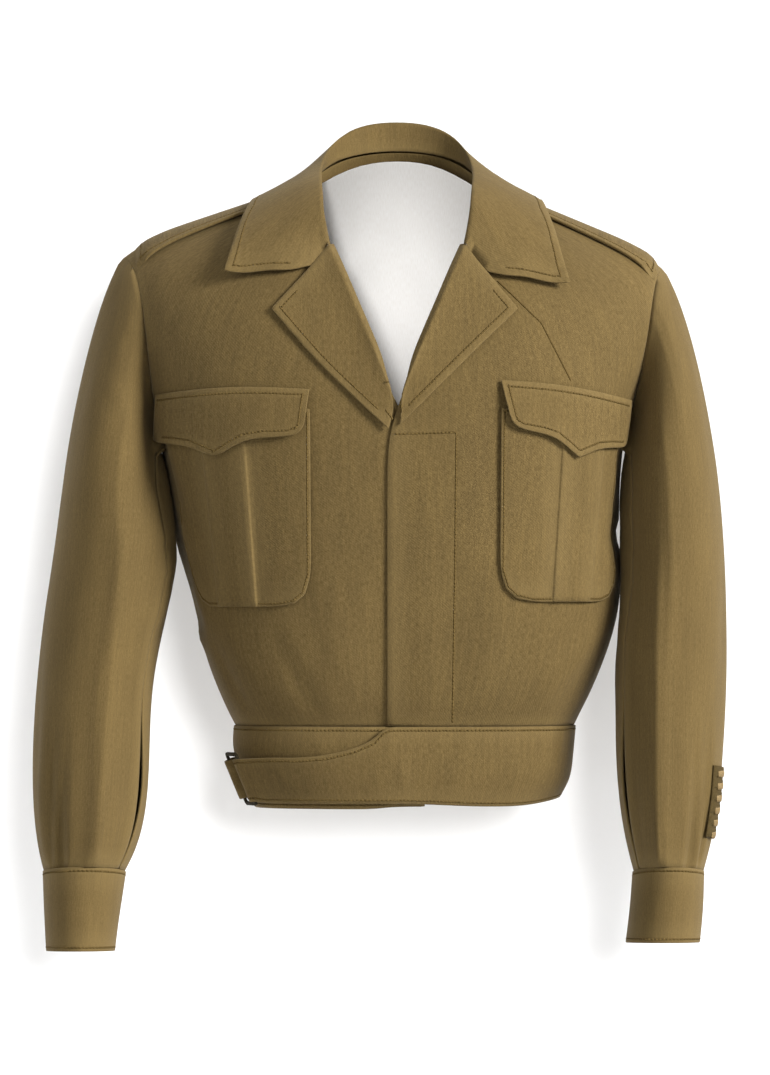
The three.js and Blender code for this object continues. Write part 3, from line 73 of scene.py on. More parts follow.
# Sleeve heads and the collar's gorge edge are drawn onto what they are sewn to
SEWN_REACH = 9 * MM
SEWN_GAP = 0.15 * MM
SEWN_SHARE = 0.9
HEAD_SPREAD = 6 * MM
GORGE_SPREAD = 30 * MM
STRAP_SPREAD = 16 * MM
HEAD_LOWEST_Z = -226 * MM
GORGE = {"out": 84 * MM, "highest": -20 * MM}

# The body's middle line and half-sizes, for angles round it: 0 is the front, 90 the wearer's left
BODY_Y = 6 * MM
BODY_HALF_WIDTH = 190 * MM
BODY_HALF_DEPTH = 115 * MM
BODY_MM_PER_DEGREE = 2.6
COLLAR_MM_PER_DEGREE = 1.5
TURN_LENGTH = 360 * BODY_MM_PER_DEGREE * MM
TURN_JUMP = 300 * MM

# Middle of each arm at each height
ARM_AXES = {
    "right": [
        {"z": -60, "x": -224, "y": 6},
        {"z": -235, "x": -238, "y": -2},
        {"z": -370, "x": -249.5, "y": -18},
        {"z": -450, "x": -255.5, "y": -33},
        {"z": -555, "x": -260.8, "y": -54},
        {"z": -621, "x": -264, "y": -67},
    ],
    "left": [
        {"z": -60, "x": 222, "y": 6},
        {"z": -235, "x": 230.8, "y": -2},
        {"z": -370, "x": 229.3, "y": -18},
        {"z": -450, "x": 227.8, "y": -33},
        {"z": -555, "x": 226.5, "y": -54},
        {"z": -621, "x": 221.5, "y": -67},
    ],
}
ARM_MM_PER_DEGREE = 0.9
CUFF_SEAM_Z = -555
ARM_FADE = 12

# Soft creases of the body, each a line from one angle and height to another.
# width is half its breadth and rise how far it stands out, both in millimetres; a trough is below 0.
# A pressed crease has a sharp ridge that starts softly over a share of its length.
BODY_CREASES = [
    {"turn": (-78, -50), "z": (-212, -282), "width": 14, "rise": -1.7},
    {"turn": (-70, -65), "z": (-296, -352), "width": 16, "rise": 2.0},
    {"turn": (-52, -41), "z": (-344, -420), "width": 12, "rise": 1.6},
    {"turn": (-33, -25), "z": (-356, -426), "width": 9, "rise": -1.3},
    {"turn": (-63, -52), "z": (-362, -425), "width": 10, "rise": -1.7},
    {"turn": (-8, -9), "z": (-246, -404), "width": 8, "rise": 0.8},
    {"turn": (-18, -14), "z": (-300, -410), "width": 12, "rise": 0.9},
    {"turn": (65, 68), "z": (-214, -250), "width": 12, "rise": 2.1},
    {"turn": (76, 62), "z": (-260, -281), "width": 8, "rise": -1.9},
    {"turn": (71, 66), "z": (-292, -322), "width": 14, "rise": 2.2},
    {"turn": (69, 42), "z": (-344, -412), "width": 14, "rise": 1.9},
    {"turn": (57, 35), "z": (-340, -388), "width": 9, "rise": -1.4},
    {"turn": (6, 6), "z": (-200, -416), "width": 9, "rise": 0.8},
    {"turn": (14, 15), "z": (-262, -426), "width": 7, "rise": -0.8},
    {"turn": (27, 20), "z": (-326, -425), "width": 9, "rise": 1.2},
    {"turn": (-28, -56), "z": (-92, -148), "width": 17, "rise": -1.0},
    {"turn": (34, 60), "z": (-104, -140), "width": 15, "rise": -0.9},
    {"turn": (-100, -139), "z": (-208, -272), "width": 13, "rise": -1.9},
    {"turn": (-98, -108), "z": (-288, -420), "width": 12, "rise": 2.0},
    {"turn": (-121, -131), "z": (-318, -425), "width": 10, "rise": -1.6},
    {"turn": (-146, -150), "z": (-338, -427), "width": 11, "rise": 1.4},
    {"turn": (-165, -160), "z": (-300, -421), "width": 12, "rise": -1.0},
    {"turn": (-151, -117), "z": (-58, -152), "width": 14, "rise": -1.5},
    {"turn": (179, 176), "z": (-232, -414), "width": 14, "rise": 1.0},
    {"turn": (100, 134), "z": (-214, -266), "width": 12, "rise": -1.8},
    {"turn": (96, 112), "z": (-302, -422), "width": 13, "rise": 1.8},
    {"turn": (126, 131), "z": (-332, -426), "width": 10, "rise": -1.4},
    {"turn": (151, 152), "z": (-352, -428), "width": 11, "rise": 1.3},
    {"turn": (166, 163), "z": (-270, -400), "width": 11, "rise": -0.8},
    {"turn": (149, 119), "z": (-70, -161), "width": 14, "rise": -1.4},
    {"turn": (98, 74), "z": (-273, -279), "width": 9, "rise": -3.2},
    {"turn": (88, 74), "z": (-292, -312), "width": 11, "rise": 1.8},
    {"turn": (-93, -93), "z": (-226, -322), "width": 22, "rise": 2.4},
    {"turn": (93, 93), "z": (-226, -352), "width": 22, "rise": 1.5},
    {"turn": (-92, -70), "z": (-338, -346), "width": 8, "rise": -2.4},
    {"turn": (-90, -72), "z": (-358, -366), "width": 9, "rise": 2.0},
]

# Short puckers of the waistband
BAND_CREASES = [
    {"turn": (1.2, 3.4), "z": (-460, -489), "width": 4.5, "rise": 1.3},
    {"turn": (4.6, 5.4), "z": (-466, -486), "width": 3, "rise": -0.8},
    {"turn": (22, 20), "z": (-440, -468), "width": 5, "rise": 0.9},
    {"turn": (37, 41), "z": (-442, -490), "width": 6, "rise": 0.8},
    {"turn": (63, 60), "z": (-438, -462), "width": 5, "rise": 1.0},
    {"turn": (84, 87), "z": (-440, -484), "width": 6, "rise": -0.7},
    {"turn": (112, 109), "z": (-439, -472), "width": 5, "rise": 0.9},
    {"turn": (140, 146), "z": (-441, -492), "width": 6, "rise": 0.8},
    {"turn": (171, 169), "z": (-438, -465), "width": 5, "rise": 0.9},
    {"turn": (-158, -163), "z": (-440, -488), "width": 6, "rise": 0.8},
    {"turn": (-132, -130), "z": (-439, -466), "width": 4.5, "rise": 1.0},
    {"turn": (-27, -24), "z": (-441, -460), "width": 4.5, "rise": 0.8},
    {"turn": (-43, -36), "z": (-466, -486), "width": 5, "rise": 0.7},
]

# Soft swells of the collar's fall
COLLAR_CREASES = [
    {"turn": (-62, -48), "z": (8, -34), "width": 11, "rise": 1.3},
    {"turn": (-88, -96), "z": (22, -8), "width": 9, "rise": 0.9},
    {"turn": (-34, -42), "z": (-14, -50), "width": 8, "rise": 0.8},
    {"turn": (58, 50), "z": (10, -38), "width": 12, "rise": 1.2},
    {"turn": (84, 92), "z": (24, -4), "width": 9, "rise": 1.0},
    {"turn": (33, 40), "z": (-18, -54), "width": 8, "rise": 0.9},
    {"turn": (134, 128), "z": (40, 12), "width": 9, "rise": 0.9},
    {"turn": (172, 176), "z": (52, 18), "width": 11, "rise": 1.0},
    {"turn": (-141, -136), "z": (42, 14), "width": 9, "rise": 0.8},
]

# Creases of the sleeves: 0 is the outer side of the arm, 90 the front, 180 the inner side
ARM_CREASES = {
    "right": [
        {"turn": (58, 74), "z": (-122, -236), "width": 13, "rise": 1.4},
        {"turn": (128, 108), "z": (-176, -262), "width": 9, "rise": -1.6},
        {"turn": (156, 108), "z": (-282, -312), "width": 8, "rise": -2.0},
        {"turn": (163, 116), "z": (-311, -333), "width": 7, "rise": -1.7},
        {"turn": (150, 112), "z": (-342, -352), "width": 8, "rise": 1.2},
        {"turn": (18, 28), "z": (-352, -472), "width": 11, "rise": -1.3},
        {"turn": (41, 36), "z": (-428, -546), "width": 7, "rise": 1.4},
        {"turn": (79, 77), "z": (-446, -548), "width": 6, "rise": 1.1},
        {"turn": (132, 126), "z": (-470, -549), "width": 7, "rise": -1.2},
        {"turn": (340, 345), "z": (-120, -250), "width": 12, "rise": 1.2},
        {"turn": (246, 292), "z": (-296, -330), "width": 10, "rise": 1.8},
        {"turn": (238, 302), "z": (-352, -346), "width": 9, "rise": -1.8},
        {"turn": (262, 300), "z": (-386, -402), "width": 9, "rise": 1.4},
        {"turn": (205, 232), "z": (-250, -322), "width": 9, "rise": -1.6},
        {"turn": (318, 326), "z": (-402, -545), "width": 9, "rise": 1.2},
        {"turn": (290, 286), "z": (-462, -548), "width": 7, "rise": -1.2},
        {"turn": (155, 155), "z": (-196, -335), "width": 14, "rise": 8.5},
        {"turn": (101, 101), "z": (-230, -556), "width": 3, "rise": 2.5, "pressed": 0.3},
        {"turn": (104, 101), "z": (-230, -540), "width": 11, "rise": 4.2, "pressed": 0.4},
        {"turn": (66, 58), "z": (-420, -556), "width": 3, "rise": 2.5, "pressed": 0.5},
        {"turn": (53, 50), "z": (-430, -556), "width": 3, "rise": -2.4, "pressed": 0.5},
    ],
    "left": [
        {"turn": (52, 66), "z": (-112, -246), "width": 12, "rise": 1.5},
        {"turn": (122, 112), "z": (-160, -250), "width": 10, "rise": -1.5},
        {"turn": (160, 112), "z": (-266, -298), "width": 9, "rise": -1.9},
        {"turn": (154, 120), "z": (-304, -322), "width": 7, "rise": -1.5},
        {"turn": (165, 122), "z": (-352, -372), "width": 9, "rise": 1.3},
        {"turn": (26, 33), "z": (-300, -432), "width": 12, "rise": -1.2},
        {"turn": (44, 41), "z": (-452, -545), "width": 6, "rise": 1.2},
        {"turn": (80, 78), "z": (-400, -548), "width": 8, "rise": 1.2},
        {"turn": (128, 122), "z": (-452, -550), "width": 7, "rise": -1.3},
        {"turn": (335, 342), "z": (-132, -268), "width": 11, "rise": 1.3},
        {"turn": (250, 298), "z": (-310, -342), "width": 9, "rise": 1.7},
        {"turn": (236, 296), "z": (-342, -362), "width": 10, "rise": -1.9},
        {"turn": (256, 306), "z": (-398, -416), "width": 8, "rise": 1.3},
        {"turn": (208, 238), "z": (-240, -300), "width": 9, "rise": -1.5},
        {"turn": (322, 330), "z": (-416, -546), "width": 8, "rise": 1.2},
        {"turn": (284, 280), "z": (-470, -549), "width": 7, "rise": -1.3},
        {"turn": (155, 155), "z": (-196, -355), "width": 14, "rise": 7.0},
        {"turn": (101, 101), "z": (-250, -556), "width": 3, "rise": 2.5, "pressed": 0.3},
        {"turn": (104, 101), "z": (-250, -540), "width": 11, "rise": 4.2, "pressed": 0.4},
        {"turn": (66, 58), "z": (-400, -556), "width": 3, "rise": 2.5, "pressed": 0.5},
        {"turn": (53, 50), "z": (-410, -556), "width": 3, "rise": -2.4, "pressed": 0.5},
    ],
}

# Creases of the pale lining, by distance from the centre plane and height; they rise to the wearer
LINING_CREASES = [
    {"x": (-54, -46), "z": (-2, -40), "width": 4.5, "rise": 2.4},
    {"x": (-37, -23), "z": (-64, -26), "width": 4.5, "rise": 2.6},
    {"x": (-45, -31), "z": (-80, -42), "width": 4, "rise": -1.2},
    {"x": (-50, -38), "z": (-72, -34), "width": 4, "rise": 1.8},
    {"x": (-32, -13), "z": (-84, -132), "width": 4.5, "rise": 2.6},
    {"x": (-22, -7), "z": (-88, -142), "width": 4, "rise": -1.3},
    {"x": (-15, -4), "z": (-130, -172), "width": 4.5, "rise": 2.2},
    {"x": (12, 34), "z": (-30, -78), "width": 8, "rise": 1.4},
    {"x": (38, 22), "z": (-20, -96), "width": 7, "rise": -0.9},
    {"x": (4, 12), "z": (-84, -150), "width": 6, "rise": 1.3},
    {"x": (-10, 10), "z": (8, -28), "width": 9, "rise": 1.0},
    {"x": (-80, -40), "z": (-180, -300), "width": 9, "rise": 2.4},
    {"x": (70, 44), "z": (-170, -310), "width": 8, "rise": 2.2},
    {"x": (4, -14), "z": (-220, -390), "width": 9, "rise": 2.0},
    {"x": (96, 80), "z": (-260, -400), "width": 9, "rise": 2.3},
    {"x": (-104, -92), "z": (-250, -395), "width": 8, "rise": 2.1},
]


def smooth(low, high, value):
    share = min(max((value - low) / (high - low), 0.0), 1.0)
    return share * share * (3 - 2 * share)


def look_up(rows, height, column):
    """A table's column at a height in millimetres, along straight lines between its rows."""
    above = rows[0]
    for row in rows[1:]:
        if height >= row["z"] or row is rows[-1]:
            share = min(max((above["z"] - height) / (above["z"] - row["z"]), 0.0), 1.0)
            return above[column] + share * (row[column] - above[column])
        above = row
    return above[column]


CREASE_REACH = 9
CREASE_END_SHARE = 0.35


def crease_rise(rows, turn, height, mm_per_degree, column="turn"):
    """How far all the creases of a table lift the cloth at an angle and height, in millimetres."""
    rise = 0.0
    for row in rows:
        turn_from, turn_to = row[column]
        z_from, z_to = row["z"]
        start = turn_from - turn
        if column == "turn":
            start = (start + 180) % 360 - 180
        start_u = start * mm_per_degree
        start_v = z_from - height
        run_u = (turn_to - turn_from) * mm_per_degree
        run_v = z_to - z_from
        length = run_u * run_u + run_v * run_v
        share = min(max(-(start_u * run_u + start_v * run_v) / length, 0.0), 1.0)
        gap_u = start_u + share * run_u
        gap_v = start_v + share * run_v
        away = (gap_u * gap_u + gap_v * gap_v) / (row["width"] * row["width"])
        if "pressed" in row:
            rise += row["rise"] * math.exp(-math.sqrt(away)) * smooth(0, row["pressed"], share)
        elif away < CREASE_REACH:
            swell = CREASE_END_SHARE + (1 - CREASE_END_SHARE) * math.sin(math.pi * share)
            rise += row["rise"] * math.exp(-away) * swell
    return rise


def body_turn(point):
    """The angle round the body in degrees, from the centre front."""
    return math.degrees(math.atan2(point.x / BODY_HALF_WIDTH, (BODY_Y - point.y) / BODY_HALF_DEPTH))


def body_outward(point):
    away = Vector((point.x / BODY_HALF_WIDTH ** 2, (point.y - BODY_Y) / BODY_HALF_DEPTH ** 2, 0))
    return away.normalized()


BODY_CREASE_DEPTH = 1.3
# Heights between which the creases fade out, at the waist seam and at the shoulders
BODY_FADE = {"band_low": -434, "band_high": -418, "shoulder_low": -58, "shoulder_high": -18}


def body_relief(point):
    """The way each spot of the body's cloth moves for its creases."""
    height = point.z / MM
    rise = crease_rise(BODY_CREASES, body_turn(point), height, BODY_MM_PER_DEGREE)
    rise *= BODY_CREASE_DEPTH * smooth(BODY_FADE["band_low"], BODY_FADE["band_high"], height)
    rise *= 1 - smooth(BODY_FADE["shoulder_low"], BODY_FADE["shoulder_high"], height)
    return body_outward(point) * rise * MM


LINING_CREASE_DEPTH = 1.5


def lining_relief(point):
    """The lining follows the back's creases and has its own, which rise toward the wearer."""
    own = crease_rise(LINING_CREASES, point.x / MM, point.z / MM, 1, "x")
    return body_relief(point) - body_outward(point) * own * LINING_CREASE_DEPTH * MM


def band_relief(point):
    rise = crease_rise(BAND_CREASES, body_turn(point), point.z / MM, BODY_MM_PER_DEGREE)
    return body_outward(point) * rise * MM


def collar_relief(point):
    rise = crease_rise(COLLAR_CREASES, body_turn(point), point.z / MM, COLLAR_MM_PER_DEGREE)
    return body_outward(point) * rise * MM


STRAP_END = {"from": 192 * MM, "to": 213 * MM, "out": 7 * MM, "down": 3.4 * MM}


def strap_relief(point):
    """The strap's outer end runs on into the armhole seam."""
    share = smooth(STRAP_END["from"], STRAP_END["to"], abs(point.x))
    return Vector((math.copysign(STRAP_END["out"], point.x), 0, -STRAP_END["down"])) * share


def arm_centre(side, point):
    rows = ARM_AXES[side]
    height = point.z / MM
    return Vector((look_up(rows, height, "x") * MM, look_up(rows, height, "y") * MM, point.z))


def arm_turn(side, point):
    """The angle round the arm in degrees, from its outer side over its front."""
    away = point - arm_centre(side, point)
    outward = away.x if side == "left" else -away.x
    return math.degrees(math.atan2(-away.y, outward)) % 360


def arm_relief(side):
    def relief(point):
        away = point - arm_centre(side, point)
        height = point.z / MM
        rise = crease_rise(ARM_CREASES[side], arm_turn(side, point), height, ARM_MM_PER_DEGREE)
        rise *= smooth(CUFF_SEAM_Z, CUFF_SEAM_Z + ARM_FADE, height)
        return away.normalized() * rise * MM
    return relief


def no_relief(point):
    return Vector((0, 0, 0))


# Materials


def new_material(name):
    material = bpy.data.materials.new(name)
    material.use_nodes = True
    nodes = material.node_tree.nodes
    shader = nodes["Principled BSDF"]
    return material, nodes, material.node_tree.links, shader


def add_node(nodes, kind, **settings):
    node = nodes.new(kind)
    for key, value in settings.items():
        if key in node.inputs:
            node.inputs[key].default_value = value
        else:
            setattr(node, key, value)
    return node


def stretched(nodes, links, across, along):
    """The piece's own cloth coordinates, in so many repeats a metre across and along the cloth."""
    coords = nodes.new("ShaderNodeUVMap")
    coords.uv_map = "cloth"
    mapping = nodes.new("ShaderNodeMapping")
    mapping.inputs["Scale"].default_value = (across, along, 1)
    links.new(coords.outputs["UV"], mapping.inputs["Vector"])
    return mapping.outputs["Vector"]


def cloth_noise(nodes, links, across, along, **settings):
    """Noise with so many spots a metre across and along the piece's own cloth."""
    noise = add_node(nodes, "ShaderNodeTexNoise", Scale=1.0, **settings)
    links.new(stretched(nodes, links, across, along), noise.inputs["Vector"])
    return noise.outputs["Fac"]


def mix_colours(nodes, links, factor, first, second, blend="MIX"):
    mix = nodes.new("ShaderNodeMix")
    mix.data_type = "RGBA"
    mix.blend_type = blend
    given = {"Factor": factor, "A": first, "B": second}
    for name, value in given.items():
        socket = mix.inputs[name]
        if isinstance(value, bpy.types.NodeSocket):
            links.new(value, socket)
        elif isinstance(value, tuple):
            socket.default_value = (*value, 1)
        else:
            socket.default_value = value
    return mix.outputs["Result"]


def ramp(nodes, links, source, low, high):
    """Turns the span from low to high of a value into 0 to 1."""
    span = nodes.new("ShaderNodeMapRange")
    span.inputs["From Min"].default_value = low
    span.inputs["From Max"].default_value = high
    links.new(source, span.inputs["Value"])
    return span.outputs["Result"]


def fill_in(shader, values):
    for name, value in values.items():
        shader.inputs[name].default_value = value


def add_bump(nodes, links, shader, source, strength, depth):
    """Lets a value raise the surface by up to a depth."""
    bump = add_node(nodes, "ShaderNodeBump", Strength=strength, Distance=depth)
    links.new(source, bump.inputs["Height"])
    links.new(bump.outputs["Normal"], shader.inputs["Normal"])


SERGE_DARK = (0.062, 0.039, 0.0115)
SERGE_MID = (0.108, 0.071, 0.0235)
SERGE_LIGHT = (0.170, 0.118, 0.046)
# Colour of the cut edges: partly wear and partly a painted highlight where light catches the rounded edge
SERGE_EDGE_WORN_AND_LIT = (0.185, 0.130, 0.052)
# Repeats a metre across and along the cloth
HEATHER = (1150, 230)
YARN = (420, 1100)
CLOUD = (14, 9)
STREAK = (330, 26)
TWILL = (900, 900)
TWILL_SCALE = 0.32
TWILL_UNEVEN = 0.6
CLOUD_COLOURS = ((0.93, 0.93, 0.92), (1.06, 1.06, 1.04))
STREAK_COLOURS = ((0.90, 0.90, 0.89), (1.09, 1.09, 1.07))
CROSS_YARN_SHARE = 0.4
CALM_SHARE = 0.2
EDGE_WEAR_AND_HIGHLIGHT = 0.30
NAP_BUMP = 0.22
NAP_DEPTH = 0.25 * MM
SERGE_SURFACE = {
    "Roughness": 0.86,
    "Specular IOR Level": 0.14,
    "Sheen Weight": 0.06,
    "Sheen Roughness": 0.5,
    "Sheen Tint": (0.95, 0.86, 0.66, 1),
}


def serge(name, shade=1.0):
    """Fine twilled wool: mixed brown and olive yarns, a faint diagonal rib, soft nap, and lighter cut edges
    that are partly wear and partly a painted highlight.
    """
    material, nodes, links, shader = new_material(name)
    dark, mid, light, edge = (
        tuple(channel * shade for channel in colour)
        for colour in (SERGE_DARK, SERGE_MID, SERGE_LIGHT, SERGE_EDGE_WORN_AND_LIT)
    )
    heather = cloth_noise(nodes, links, *HEATHER, Detail=3.0, Roughness=0.6)
    yarn = cloth_noise(nodes, links, *YARN, Detail=2.0, Roughness=0.55)
    cloud = cloth_noise(nodes, links, *CLOUD, Detail=2.0)
    streak = cloth_noise(nodes, links, *STREAK, Detail=2.0)
    rib = add_node(
        nodes, "ShaderNodeTexWave", bands_direction="DIAGONAL", Scale=TWILL_SCALE, Distortion=TWILL_UNEVEN,
    )
    links.new(stretched(nodes, links, *TWILL), rib.inputs["Vector"])
    base = mix_colours(nodes, links, ramp(nodes, links, heather, 0.30, 0.72), dark, light)
    crossed = mix_colours(nodes, links, ramp(nodes, links, yarn, 0.25, 0.75), dark, light)
    woven = mix_colours(nodes, links, CROSS_YARN_SHARE, base, crossed)
    colour = mix_colours(nodes, links, CALM_SHARE, woven, mid)
    for patch_noise, tints in ((cloud, CLOUD_COLOURS), (streak, STREAK_COLOURS)):
        tint = mix_colours(nodes, links, ramp(nodes, links, patch_noise, 0.3, 0.7), *tints)
        colour = mix_colours(nodes, links, 1.0, colour, tint, "MULTIPLY")
    # Cut edges take a lighter colour: partly wear, partly a painted highlight of light catching the rounded
    # edge
    worn_lit_rim = nodes.new("ShaderNodeAttribute")
    worn_lit_rim.attribute_name = "rim"
    edge_share = add_node(nodes, "ShaderNodeMath", operation="MULTIPLY")
    links.new(worn_lit_rim.outputs["Fac"], edge_share.inputs[0])
    edge_share.inputs[1].default_value = EDGE_WEAR_AND_HIGHLIGHT
    edged = mix_colours(nodes, links, edge_share.outputs["Value"], colour, edge)
    links.new(edged, shader.inputs["Base Color"])
    height = add_node(nodes, "ShaderNodeMath", operation="ADD")
    links.new(heather, height.inputs[0])
    links.new(rib.outputs["Fac"], height.inputs[1])
    add_bump(nodes, links, shader, height.outputs["Value"], NAP_BUMP, NAP_DEPTH)
    fill_in(shader, SERGE_SURFACE)
    return material


SATIN_THREAD = (1400, 200)
SATIN_COLOURS = ((0.90, 0.875, 0.84), (0.97, 0.955, 0.93))
SATIN_BUMP = 0.08
FINE_DEPTH = 0.1 * MM
SATIN_SURFACE = {"Roughness": 0.42, "Specular IOR Level": 0.45, "Sheen Weight": 0.15}


def satin(name):
    """Pale lining satin with a soft shine and a fine thread line."""
    material, nodes, links, shader = new_material(name)
    thread = cloth_noise(nodes, links, *SATIN_THREAD, Detail=2.0)
    colour = mix_colours(nodes, links, ramp(nodes, links, thread, 0.3, 0.7), *SATIN_COLOURS)
    links.new(colour, shader.inputs["Base Color"])
    add_bump(nodes, links, shader, thread, SATIN_BUMP, FINE_DEPTH)
    fill_in(shader, SATIN_SURFACE)
    return material


LEAST_SHINE = 0.05


def plain(name, dark, light, roughness, metallic=0.0, spots=900.0, bump_share=0.1):
    """A material in two near colours, mixed in fine spots."""
    material, nodes, links, shader = new_material(name)
    coords = nodes.new("ShaderNodeTexCoord")
    noise = add_node(nodes, "ShaderNodeTexNoise", Scale=spots, Detail=3.0)
    links.new(coords.outputs["Object"], noise.inputs["Vector"])
    share = ramp(nodes, links, noise.outputs["Fac"], 0.3, 0.7)
    links.new(mix_colours(nodes, links, share, dark, light), shader.inputs["Base Color"])
    add_bump(nodes, links, shader, noise.outputs["Fac"], bump_share, FINE_DEPTH)
    shine = LEAST_SHINE + (1 - roughness) / 2
    fill_in(shader, {"Roughness": roughness, "Metallic": metallic, "Specular IOR Level": shine})
    return material


SERGE = serge("serge")
TRIM_SERGE = serge("serge_trim", 1.04)
LINING = satin("lining_satin")
THREAD = plain("olive_thread", (0.090, 0.059, 0.019), (0.134, 0.090, 0.032), 0.9)
# Darker colour for seam lines: painted shade of a seam's ditch
SEAM_SHADE = plain("seam_painted_shade", (0.071, 0.047, 0.0145), (0.097, 0.064, 0.021), 0.95)
HORN = plain("button_horn", (0.045, 0.028, 0.012), (0.095, 0.062, 0.030), 0.38, spots=160.0)
DARK_METAL = plain("painted_metal", (0.020, 0.016, 0.009), (0.034, 0.027, 0.015), 0.85, 0.0, 500.0)
# Flat darker spots under the stitches: painted shade of their grooves
STITCH_GROOVE_SHADE = plain("pressed_nap", (0.096, 0.063, 0.020), (0.123, 0.082, 0.027), 0.95)
PATCH_FELT = plain("patch_felt", (0.040, 0.028, 0.010), (0.075, 0.052, 0.020), 0.95)
BULLION = plain("bullion_thread", (0.100, 0.064, 0.022), (0.270, 0.185, 0.075), 0.5, 0.3, 1300.0, 0.4)


# Cloth


def link(obj):
    bpy.context.scene.collection.objects.link(obj)
    return obj


def mesh_object(name, bm, material):
    mesh = bpy.data.meshes.new(name)
    bm.to_mesh(mesh)
    bm.free()
    mesh.materials.append(material)
    for face in mesh.polygons:
        face.use_smooth = True
    return link(bpy.data.objects.new(name, mesh))


def rim_faces(bm):
    """The narrow faces of the cloth's cut edge."""
    faces = []
    for face in bm.faces:
        sharp = sum(1 for edge in face.edges if edge.is_manifold and edge.calc_face_angle() > RIM_ANGLE)
        if sharp >= 2 and min(edge.calc_length() for edge in face.edges) < RIM_WIDTH:
            faces.append(face)
    return faces


def cloth_cage(node):
    """A node's own faces as a merged mesh of quads."""
    bm = bmesh.new()
    bm.from_mesh(frame["nodes"][node].data)
    bmesh.ops.remove_doubles(bm, verts=bm.verts, dist=MERGE_DISTANCE)
    bmesh.ops.join_triangles(
        bm, faces=bm.faces, angle_face_threshold=QUAD_ANGLE, angle_shape_threshold=math.pi,
    )
    bmesh.ops.recalc_face_normals(bm, faces=bm.faces)
    bm.normal_update()
    return bm


def lay_cloth_coordinates(mesh, around):
    """Gives the piece its cloth coordinates in metres: across and along the grain."""
    layer = mesh.uv_layers.new(name="cloth")
    for face in mesh.polygons:
        middle = around(face.center)
        for index in face.loop_indices:
            across, along = around(mesh.vertices[mesh.loops[index].vertex_index].co)
            if across - middle[0] > TURN_JUMP:
                across -= TURN_LENGTH
            elif middle[0] - across > TURN_JUMP:
                across += TURN_LENGTH
            layer.data[index].uv = (across, along)


def body_cloth(point):
    return body_turn(point) * BODY_MM_PER_DEGREE * MM, point.z


def arm_cloth(side):
    def cloth(point):
        return arm_turn(side, point) * BODY_MM_PER_DEGREE * MM, point.z
    return cloth


def flat_cloth(point):
    return point.x, point.z


def cloth_tree(pieces):
    """A search tree over the faces of some pieces."""
    spots = []
    faces = []
    for piece in pieces:
        start = len(spots)
        spots.extend(vertex.co for vertex in piece.data.vertices)
        faces.extend([start + index for index in face.vertices] for face in piece.data.polygons)
    return BVHTree.FromPolygons(spots, faces)


def at_sleeve_head(point):
    return point.z > HEAD_LOWEST_Z


def at_strap_end(point):
    return abs(point.x) > STRAP_END["to"]


def at_gorge(point):
    return abs(point.x) < GORGE["out"] and point.z < GORGE["highest"] and point.y < 0


def draw_to_seam(mesh, neighbours, sewn, spread):
    """Moves the cut edge's sewn parts onto the nearest neighbour; the cloth beside it follows softly."""
    tree = cloth_tree(neighbours)
    edge_share = mesh.attributes["rim"].data
    drawn = {}
    for vertex in mesh.vertices:
        if edge_share[vertex.index].value > SEWN_SHARE and sewn(vertex.co):
            place, _, _, distance = tree.find_nearest(vertex.co)
            if SEWN_GAP < distance < SEWN_REACH:
                drawn[vertex.index] = (place - vertex.co) * (1 - SEWN_GAP / distance)
    edge_spots = KDTree(len(drawn))
    for index in drawn:
        edge_spots.insert(mesh.vertices[index].co, index)
    edge_spots.balance()
    moves = []
    for vertex in mesh.vertices:
        _, index, distance = edge_spots.find(vertex.co)
        if index is not None and distance < spread:
            moves.append((vertex, drawn[index] * (1 - distance / spread) ** 2))
    for vertex, move in moves:
        vertex.co += move


def cloth_shell(node, relief, around, material):
    """The worn cloth of a node: its solid's form made fine, with rounded edges and soft creases."""
    bm = cloth_cage(node)
    rims = rim_faces(bm)
    rim_layer = bm.verts.layers.float.new("rim")
    crease_layer = bm.edges.layers.float.new("crease_edge")
    shifts = {}
    for face in rims:
        for vert in face.verts:
            vert[rim_layer] = 1.0
            shifts[vert] = shifts.get(vert, Vector()) + face.normal
    for edge in bm.edges:
        if edge.is_manifold and edge.calc_face_angle() > RIM_ANGLE:
            edge[crease_layer] = RIM_CREASE
        elif edge.is_manifold and node.startswith(FOLDED):
            edge[crease_layer] = smooth(*FOLD_ANGLES, edge.calc_face_angle())
    for vert, shift in shifts.items():
        vert.co += shift.normalized() * SEAM_CLOSE
    cage = mesh_object(node + "_shell", bm, material)
    finer = cage.modifiers.new("finer", "SUBSURF")
    finer.levels = REFINE
    finer.render_levels = REFINE
    bpy.context.view_layer.update()
    fine = bpy.data.meshes.new_from_object(cage.evaluated_get(bpy.context.evaluated_depsgraph_get()))
    cage.modifiers.clear()
    coarse = cage.data
    cage.data = fine
    bpy.data.meshes.remove(coarse)
    lay_cloth_coordinates(fine, around)
    for vertex in fine.vertices:
        vertex.co += relief(vertex.co)
    if node.startswith("sleeve"):
        draw_to_seam(fine, [shells[name] for name in BODY_NODES], at_sleeve_head, HEAD_SPREAD)
    if node == "collar":
        draw_to_seam(fine, [shells["lapel_right"], shells["lapel_left"]], at_gorge, GORGE_SPREAD)
    if node.startswith("shoulder_strap"):
        draw_to_seam(fine, [shells[name] for name in BODY_NODES], at_strap_end, STRAP_SPREAD)
    for face in fine.polygons:
        face.use_smooth = True
    return cage


def declare(piece, slot, *nodes):
    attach(piece, "root")
    if nodes:
        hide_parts(*nodes)
    return piece


BODY_NODES = ("front_right", "front_left", "back")
shells = {}

